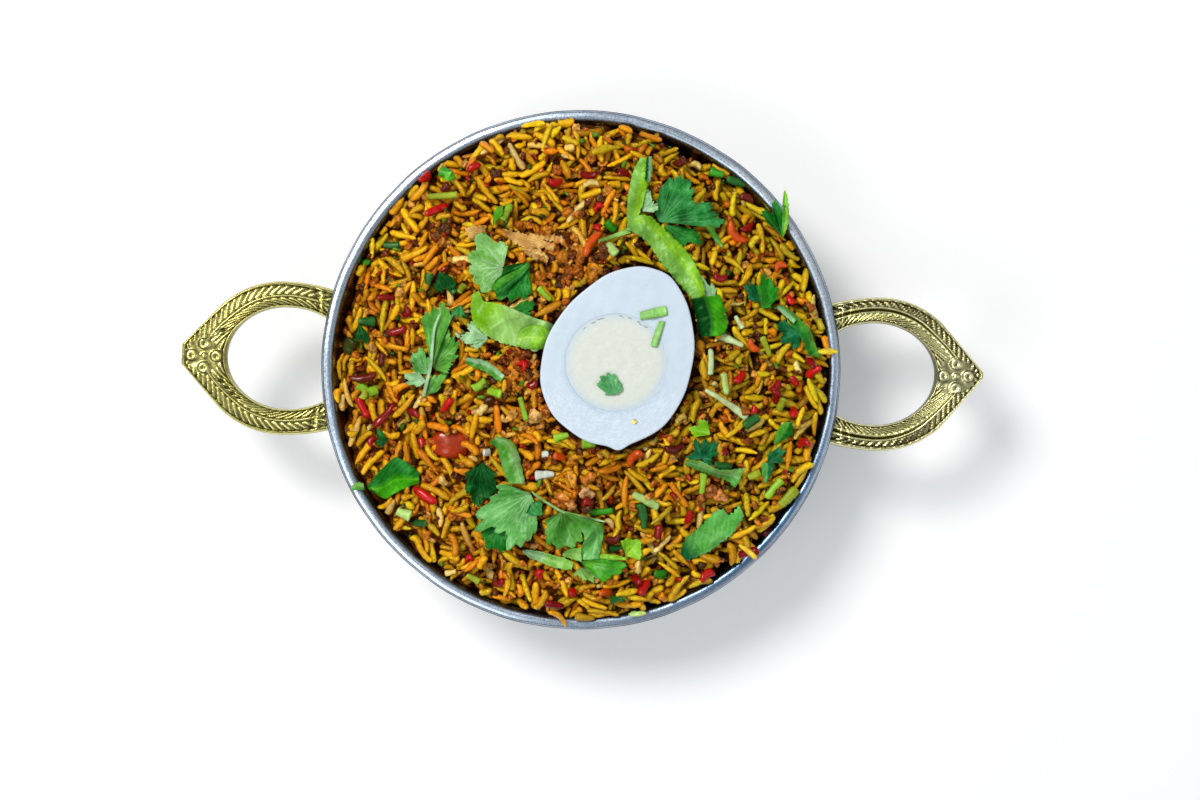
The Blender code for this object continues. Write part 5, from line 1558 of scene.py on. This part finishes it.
HANDLE_TURNS = {"left": math.radians(177.7), "right": math.radians(-0.8)}
HANDLE_TIPS = {"left": (123.2, 3.0), "right": (124.2, 0.8)}  # reach, half width
HANDLE_HEIGHT = 44.8
HANDLE_RISE = 0.10
HANDLE_THICK = 5.2
SHOULDER = (92.5, 23.8)
SHOULDER_RADIUS = 26.9
SHANK_RADIUS = 57.0
SHANK_START = 77.5
EYE_CENTRE = 91.2
EYE_OUT, EYE_IN = 18.3, 20.0
EYE_HALF_WIDTH = 15.8
EYE_FIRST, EYE_LAST = 128.0, 8.0  # angles round the eye at the wall and beside the tip
FOOT_SPREAD = math.radians(12.9)
FOOT_HALF_WIDTH = 5.2
FOOT_THICK = 2.0
FOOT_LOW = 29.5
RIVET_HEIGHT = 35.5
RIVET_HEAD_RADIUS = 2.8
RIVET_HEAD_HEIGHT = 1.5
FLOWERS = {"left": (116.0, 0.25), "right": (115.5, -0.4)}
PETAL_OUT, PETAL_RADIUS = 3.7, 1.9
STROKES = {  # each side of the rib: which side, slant, spacing, height of the strokes, depth of the notches
    "left": ((1, 1.5, 2.3, 0.26, 0.6), (-1, 1.5, 2.9, 0.26, 0.6)),
    "right": ((1, 1.5, 2.3, 0.10, 0.25), (-1, 1.0, 2.0, 0.46, 0.8)),
}
BRIGHT_BRASS = {"left": linear((232, 224, 138)), "right": linear((250, 245, 182))}
DARK_BRASS = linear((58, 48, 4))
BRASS_CONTRAST = {"left": 1.3, "right": 1.5}


def outline_half_width(reach, tip):
    """Half width of the handle's outer outline at a distance from the bowl's axis, as in the CAD."""
    bend = SHOULDER_RADIUS * math.sin(math.pi / 4)
    back = SHANK_RADIUS - np.sqrt(SHANK_RADIUS**2 - (SHOULDER[0] - reach) ** 2)
    curve = SHOULDER_RADIUS - np.sqrt(np.clip(SHOULDER_RADIUS**2 - (reach - SHOULDER[0]) ** 2, 0.0, None))
    start = SHOULDER[1] - SHOULDER_RADIUS * (1 - math.cos(math.pi / 4))
    along = (reach - SHOULDER[0] - bend) / (tip[0] - SHOULDER[0] - bend)
    straight = start + (tip[1] - start) * along
    low = np.where(reach < SHOULDER[0], SHOULDER[1] - back, SHOULDER[1] - curve)
    return np.where(reach < SHOULDER[0] + bend, low, straight)


def handle_lines(tip, count):
    """Inner and outer edge of the loop at even steps, and the distance along it from the tip."""
    turn = np.linspace(-EYE_FIRST, EYE_FIRST, 3001)
    angle = np.radians(turn)
    stretch = np.where(np.abs(turn) < 90.0, EYE_OUT, EYE_IN)
    inner = np.stack([EYE_CENTRE + stretch * np.cos(angle), EYE_HALF_WIDTH * np.sin(angle)], axis=1)
    share = clamp((EYE_FIRST - np.abs(turn)) / (EYE_FIRST - EYE_LAST))
    reach = SHANK_START + (tip[0] - SHANK_START) * np.sin(share * math.pi / 2)
    side = np.where(np.abs(turn) > EYE_LAST, outline_half_width(reach, tip), tip[1] * np.abs(turn) / EYE_LAST)
    outer = np.stack([reach, np.copysign(side, turn)], axis=1)
    steps = np.hypot(*np.diff(inner, axis=0).T) + np.hypot(*np.diff(outer, axis=0).T)
    gone = np.concatenate([[0.0], np.cumsum(0.5 * steps)])
    at = np.linspace(0.0, gone[-1], count)
    even = [np.stack([np.interp(at, gone, line[:, k]) for k in (0, 1)], axis=1) for line in (inner, outer)]
    return *even, at - 0.5 * gone[-1]


def chased(side, s, across, width, x, y):
    """Relief of the chased top, and how bright it has been rubbed."""
    # The rib along the middle, plain on the left and a worn groove between two lines on the right
    rib_at = (0.46 if side == "left" else 0.52) * width
    away = across - rib_at
    run = np.abs(s)
    half_rib = 0.7 if side == "left" else 1.35
    if side == "left":
        relief = 0.75 * bulge(away / half_rib)
        rubbed = 0.0
    else:
        lines = bell((np.abs(away) - 0.9) / 0.42)
        groove = bell(away / 0.36)
        pits = np.sin(5.1 * run + 2.0 * away) * np.sin(3.7 * away - 2.3 * run + 1.0)
        pits = pits + np.sin(2.9 * run - 4.3 * away)
        outer = clamp((away - 1.5) / 0.4)
        relief = 0.7 * lines - 0.5 * groove - 0.22 * outer * np.clip(pits, 0.0, 2.0)
        rubbed = 0.6 * lines - 0.5 * groove - 0.22 * outer * (0.6 + pits)
    # Slanting strokes on both sides of it, some cut deeper than others
    stroke = np.random.default_rng(31).uniform(0.35, 1.0, 200)
    for sign, slant, period, height, depth in STROKES[side]:
        edge = width - across - 1.5 if sign > 0 else across - 1.0
        reach = sign * away - half_rib
        span = np.maximum(reach + edge, 0.5)
        far = clamp(reach / span)
        phase = (run - slant * reach) / period + (0.0 if side == "left" else 0.5)
        apart = np.abs(phase - np.floor(phase) - 0.5)
        thin = 0.06 if side == "left" else 0.14
        notch = bell(apart / (thin + 0.10 * far)) * (0.4 + 0.6 * far)
        notch = notch * stroke[np.floor(phase).astype(int) % 200]
        barb = height * np.sin(math.pi * clamp(2.0 * apart) * 0.5) - depth * notch
        barb = barb + 0.05 * np.cos(2 * math.pi * (run - 1.1 * reach) / 0.6)
        inside = clamp(reach / 0.15) * clamp(edge / 0.25)
        relief = relief + inside * barb
        relief = relief - 0.5 * bell(reach / 0.2) - 0.45 * bell(edge / 0.2)
    # A row of beads, and a collar at each end of the loop
    if side == "left":
        lined, size, gap, most = across - 0.27 * width, 0.85, 2.7, np.where(s > 0, 16.5, 9.0)
    else:
        lined, size, gap, most = width - across - 0.5, 0.42, 1.15, np.where(s > 0, 46.0, 0.0)
    nearest = (run / gap - np.floor(run / gap) - 0.5) * gap
    bead = np.sqrt(clamp(1.0 - (lined**2 + nearest**2) / size**2))
    beaded = (run > 6.0) & (run < most) & (np.abs(lined) < 1.15 * size)
    relief = np.where(beaded, 0.75 * size * bead - 0.25, relief)
    ends = run.max() - run
    relief = relief + 0.35 * bell((ends - 2.8) / 0.7) - 0.3 * bell((ends - 4.4) / 0.4)
    # The flower at the tip
    fx, fy = FLOWERS[side]
    dx, dy = x - fx, y - fy
    centre = np.hypot(dx, dy)
    bed = clamp((5.9 - centre) / 0.8)
    petals, dimples = np.full_like(centre, -0.25), np.zeros_like(centre)
    for k in range(4):
        px, py = PETAL_OUT * math.cos(k * math.pi / 2), PETAL_OUT * math.sin(k * math.pi / 2)
        far = np.hypot(dx - px, dy - py) / PETAL_RADIUS
        dimple = bell(far / 0.42)
        petals = np.maximum(petals, 0.85 * bulge(far) - 0.6 * dimple)
        dimples = np.maximum(dimples, dimple)
    petals = np.maximum(petals, 0.5 * bulge(centre / 1.0))
    petals = petals + 0.08 * np.sin(8.0 * np.arctan2(dy, dx)) * clamp(centre - 3.0)
    tone = clamp((relief + 0.32) / 0.72 + rubbed) * (1 - bed)
    tone = tone + bed * clamp(0.55 + 0.6 * petals - 0.5 * dimples)
    return relief * (1 - bed) + bed * petals, tone


def build_handle(side):
    """One handle: a closed section led round the loop and down to the wall, with its two feet and rivets."""
    stations, lead, top_columns = 384, 14, 48
    inner, outer, s = handle_lines(HANDLE_TIPS[side], stations)
    crowded = np.cos(np.linspace(0.0, math.pi, top_columns))
    v = clamp(0.5 - 0.5 * crowded * 0.86 - 0.5 * 0.14 * np.linspace(1, -1, top_columns))
    width = np.hypot(*(outer - inner).T)
    across = v[None, :] * width[:, None]
    x = inner[:, :1] + (outer - inner)[:, :1] * v
    y = inner[:, 1:] + (outer - inner)[:, 1:] * v
    edge = np.minimum(across, width[:, None] - across)
    bevel = bulge(1.0 - clamp(edge / 1.2))
    carved, tone = chased(side, s[:, None], across, width[:, None], x, y)
    outside = (width[:, None] - across) < 1.5
    rim = np.where(outside, 1.35, 0.85)
    top = HANDLE_THICK * (0.45 + 0.42 * bevel) + carved * clamp(edge / rim) ** 3
    # Painted dark reflection: the tone falls off at the very edges of the top.
    border = np.clip(0.2 + 2.2 * edge, 0.0, 0.9) * np.clip(1.6 - edge / rim, 0.4, 1.0)
    shade = np.where(edge < rim, border, tone)

    def ring(values_top, low_inner, low_outer):
        """One closed section: along the underside outwards, up, back over the top and down."""
        return np.concatenate([low_outer, values_top[:, ::-1], low_inner], axis=1)

    def places(values_top, start, end):
        """The same for places, with upright walls under the two edges."""
        low = start + (end - start) * np.array([0.06, 0.35, 0.65, 0.94])
        return ring(values_top, np.hstack([start, start]), np.hstack([low, end, end]))

    ones = np.ones((stations, 1))
    xs = places(x, inner[:, :1], outer[:, :1])
    ys = places(y, inner[:, 1:], outer[:, 1:])
    low = ones * np.array([[0.0, 0.0, 0.0, 0.0, 0.5, 1.4]])
    zs = ring(top, ones * np.array([[1.4, 0.5]]), low)
    tone = ring(shade, ones * np.array([[0.6, 0.6]]), ones * np.full((1, 6), 0.5))
    zs = zs + HANDLE_HEIGHT + HANDLE_RISE * (xs - SHANK_START)
    # Leads from the two ends of the loop to the wall of the bowl
    share = (np.arange(1, lead + 1) / lead)[:, None]
    leads = []
    for first in (0, -1):
        end_z = zs[first] - HANDLE_RISE * (xs[first] - SHANK_START)
        end_y = np.copysign(0.45 * abs(outer[first, 1]) + 0.55 * np.abs(ys[first]), ys[first])
        end_x = np.sqrt((wall_radius(end_z) + 0.65) ** 2 - end_y**2)
        ends = ((xs, end_x), (ys, end_y), (zs, end_z))
        ways = [start[first] * (1 - share) + end * share for start, end in ends]
        # Painted shade: the leads darken towards the wall, under the rim.
        leads.append([*ways, tone[first] * (1.0 - 0.45 * share)])
    parts = zip(leads[0], (xs, ys, zs, tone), leads[1])
    gx, gy, gz, tone = (np.concatenate([before[::-1], loop, after]) for before, loop, after in parts)
    # One mesh from the loop and the two feet
    rows, columns = gx.shape
    points = [np.stack([gx, gy, gz], axis=2).reshape(-1, 3)]
    faces = [face[::-1] for face in lattice(rows, columns, closed=True)]
    faces.append(tuple(range(columns)))
    faces.append(tuple(range((rows - 1) * columns, rows * columns))[::-1])
    tones = [tone.reshape(-1)]
    base = rows * columns
    for sign in (1, -1):
        plate, plate_faces = foot_plate(sign * FOOT_SPREAD)
        points.append(plate)
        faces += shifted(plate_faces, base)
        tones.append(np.full(len(plate), 0.7))
        base += len(plate)
    points = np.concatenate(points)
    bright = np.concatenate(tones)[:, None] ** BRASS_CONTRAST[side]
    tints = DARK_BRASS + (BRIGHT_BRASS[side] - DARK_BRASS) * bright
    turn = HANDLE_TURNS[side]
    shape = (spun(points, turn), faces, tints)
    make_piece(f"handle_{side}_cast", shape, brass_finish, [f"handle_{side}"])
    for label, sign in (("a", 1), ("b", -1)):
        build_rivet(f"rivet_{side}_{label}", turn + sign * FOOT_SPREAD)


def foot_plate(middle):
    """A plate with rounded edges that lies on the bowl's wall under one end of the loop."""
    steps, columns = 18, 12
    top = HANDLE_HEIGHT + 0.8 * HANDLE_THICK
    layers = ((0.4, 0.97), (0.7, 1.0), (1.4, 1.0), (1.8, 0.95), (FOOT_THICK, 0.86))
    rows = []
    for layer, shrink in layers:
        line = []
        for i in range(steps + 1):
            height = FOOT_LOW + (top - FOOT_LOW) * (i / steps) ** 1.3
            height = FOOT_LOW + FOOT_HALF_WIDTH * (1 - shrink) + (height - FOOT_LOW) * shrink
            drop = max(0.0, FOOT_LOW + FOOT_HALF_WIDTH - height) / FOOT_HALF_WIDTH
            half = shrink * FOOT_HALF_WIDTH * math.sqrt(max(0.04, 1.0 - drop * drop))
            half = half / float(wall_radius(height))
            for j in range(columns + 1):
                turn = middle + half * (2 * j / columns - 1)
                radius = float(wall_radius(height, -layer))
                line.append((radius * math.cos(turn), radius * math.sin(turn), height))
        rows.append(line)
    wide = columns + 1
    size = (steps + 1) * wide
    border = list(range(columns))
    border += [i * wide + columns for i in range(steps)]
    border += [steps * wide + j for j in range(columns, 0, -1)]
    border += [i * wide for i in range(steps, 0, -1)]
    inside, outside = lattice(steps + 1, wide), (len(layers) - 1) * size
    faces = inside + shifted([face[::-1] for face in inside], outside)
    for layer in range(len(layers) - 1):
        low, high = layer * size, (layer + 1) * size
        for near, far in zip(border, border[1:] + border[:1]):
            faces.append((low + far, low + near, high + near, high + far))
    # The layers between have points inside, which no face needs.
    keep = sorted(set(k for face in faces for k in face))
    number = {old: new for new, old in enumerate(keep)}
    points = np.concatenate(rows)[keep]
    return points, [tuple(number[k] for k in face) for face in faces]


def build_rivet(name, turn):
    """A rivet with a domed head, standing on the foot of the handle."""
    seat = FOOT_THICK - 0.1
    profile = [(1.5, -0.8), (1.5, seat - 0.3), (2.5, seat - 0.1), (RIVET_HEAD_RADIUS, seat + 0.15)]
    for k in range(1, 9):
        a = math.pi / 2 * k / 9
        profile.append((RIVET_HEAD_RADIUS * math.cos(a), seat + 0.15 + RIVET_HEAD_HEIGHT * math.sin(a)))
    turns = circle(28)
    rows = [ring_at(r * np.cos(turns), r * np.sin(turns), up) for r, up in profile]
    points, faces = revolve(rows, (0.0, 0.0, -0.8), (0.0, 0.0, seat + 0.15 + RIVET_HEAD_HEIGHT))
    outward = np.array([math.cos(WALL_LEAN), 0.0, -math.sin(WALL_LEAN)])
    upward = np.array([math.sin(WALL_LEAN), 0.0, math.cos(WALL_LEAN)])
    sideways = np.cross(outward, upward)
    place = np.array([float(wall_radius(RIVET_HEIGHT)), 0.0, RIVET_HEIGHT])
    points = place + points[:, :1] * upward - points[:, 1:2] * sideways + points[:, 2:] * outward
    tints = np.tile(0.8 * BRIGHT_BRASS["left"], (len(points), 1))
    make_piece(f"{name}_domed", (spun(points, turn), faces, tints), brass_finish, [name])


meat_finish = finish(
    "meat", vary=0.25, scale=600.0, rough=0.34, bump=0.5, bump_scale=1000.0, depth=0.4, blotch=(190, 96, 14),
    blotch_scale=260.0, blotch_most=0.4, gloss=(255, 210, 120), specular=0.6,
)
leaf_finish = finish(
    "leaf", vary=0.14, scale=1100.0, rough=0.40, rough_vary=0.1, bump=0.35, bump_scale=1800.0, depth=0.2,
)
dark_leaf_finish = finish(
    "leaf_dark", vary=0.14, scale=1100.0, rough=0.40, rough_vary=0.1, bump=0.35, bump_scale=1800.0, depth=0.2,
    specular=0.3, gloss=(170, 255, 160),
)
white_finish = finish(
    "egg_white", vary=0.03, scale=300.0, rough=0.34, rough_vary=0.08, bump=0.15, bump_scale=700.0,
    depth=0.3, subsurface=0.25, radius=2.0,
)
yolk_finish = finish(
    "egg_yolk", vary=0.04, scale=900.0, rough=0.8, bump=0.35, bump_scale=1400.0, depth=0.2, specular=0.2,
)
steel_finish = finish(
    "steel", vary=0.12, scale=900.0, rough=0.28, rough_vary=0.08, bump=0.045, bump_scale=900.0,
    depth=0.16, metallic=1.0,
)
brass_finish = finish(
    "brass", vary=0.16, scale=500.0, rough=0.28, rough_vary=0.1, bump=0.2, bump_scale=1500.0,
    depth=0.12, metallic=1.0,
)

build_chicken()
build_leaves()
build_egg_white()
build_egg_yolk()
dress_egg()
build_bowl()
for side in ("left", "right"):
    build_handle(side)


# Stage, camera and light

CAMERA_DISTANCE = 600.0  # straight above the rim, and the width and middle of the view there
VIEW_WIDTH = 368.2
VIEW_MIDDLE = (5.92, -9.3)
HEAP_MIDDLE = (0.0, 0.0, 0.05)  # metres


def add_light(name, place, size, power, colour):
    """A round lamp that shines on the heap. Its place and size are in metres, its power in watts."""
    lamp = bpy.data.lights.new(name, "AREA")
    lamp.shape = "DISK"
    lamp.size = size
    lamp.energy = power
    lamp.color = colour
    thing = bpy.data.objects.new(name, lamp)
    bpy.context.scene.collection.objects.link(thing)
    thing.location = place
    aim = Vector(HEAP_MIDDLE) - thing.location
    thing.rotation_euler = aim.to_track_quat("-Z", "Y").to_euler()


def build_floor():
    """White paper, faintly bright in itself. Its size is in metres."""
    mesh = bpy.data.meshes.new("floor")
    half = 3.0
    corners = [(-half, -half, 0), (half, -half, 0), (half, half, 0), (-half, half, 0)]
    mesh.from_pydata(corners, [], [(0, 1, 2, 3)])
    paper = finish("floor", (250, 250, 249), vary=0.01, scale=3.0, rough=0.7, bump=0.02, specular=0.2)
    shader = paper.node_tree.nodes["Principled BSDF"]
    shader.inputs["Emission Color"].default_value = (1.0, 1.0, 1.0, 1.0)
    shader.inputs["Emission Strength"].default_value = 0.16
    mesh.materials.append(paper)
    floor = bpy.data.objects.new("floor", mesh)
    bpy.context.scene.collection.objects.link(floor)


def build_world():
    """Soft daylight, bright above and dark below."""
    world = bpy.data.worlds.new("studio")
    world.use_nodes = True
    bpy.context.scene.world = world
    tree = world.node_tree
    place = new_node(tree, "ShaderNodeTexCoord")
    split = new_node(tree, "ShaderNodeSeparateXYZ")
    tree.links.new(place.outputs["Generated"], split.inputs["Vector"])
    ramp = new_node(tree, "ShaderNodeValToRGB")
    stops = ramp.color_ramp.elements
    stops[0].color = (0.05, 0.06, 0.08, 1.0)
    stops[1].color = (0.88, 0.93, 0.98, 1.0)
    stops.new(0.22).color = (0.16, 0.18, 0.22, 1.0)
    stops.new(0.5).color = (0.74, 0.8, 0.88, 1.0)
    tree.links.new(split.outputs["Z"], ramp.inputs["Fac"])
    tree.links.new(ramp.outputs["Color"], tree.nodes["Background"].inputs["Color"])
    tree.nodes["Background"].inputs["Strength"].default_value = 0.41


def build_camera():
    """A camera that looks straight down."""
    lens = bpy.data.cameras.new("camera")
    lens.sensor_width = 36.0
    lens.lens = lens.sensor_width * CAMERA_DISTANCE / VIEW_WIDTH
    lens.clip_start = 0.01
    camera = bpy.data.objects.new("camera", lens)
    bpy.context.scene.collection.objects.link(camera)
    camera.location = [value * MM for value in (*VIEW_MIDDLE, RIM_HEIGHT + CAMERA_DISTANCE)]
    bpy.context.scene.camera = camera
    bpy.context.scene.view_settings.view_transform = "Standard"


build_floor()
build_world()
add_light("key", (-0.38, 0.38, 1.05), 0.36, 7.9, (1.0, 0.98, 0.95))
add_light("fill", (0.7, -0.2, 0.8), 0.7, 0.9, (0.93, 0.96, 1.0))
add_light("low_left", (-0.4, -0.38, 0.95), 0.5, 2.0, (0.96, 0.98, 1.0))
build_camera()
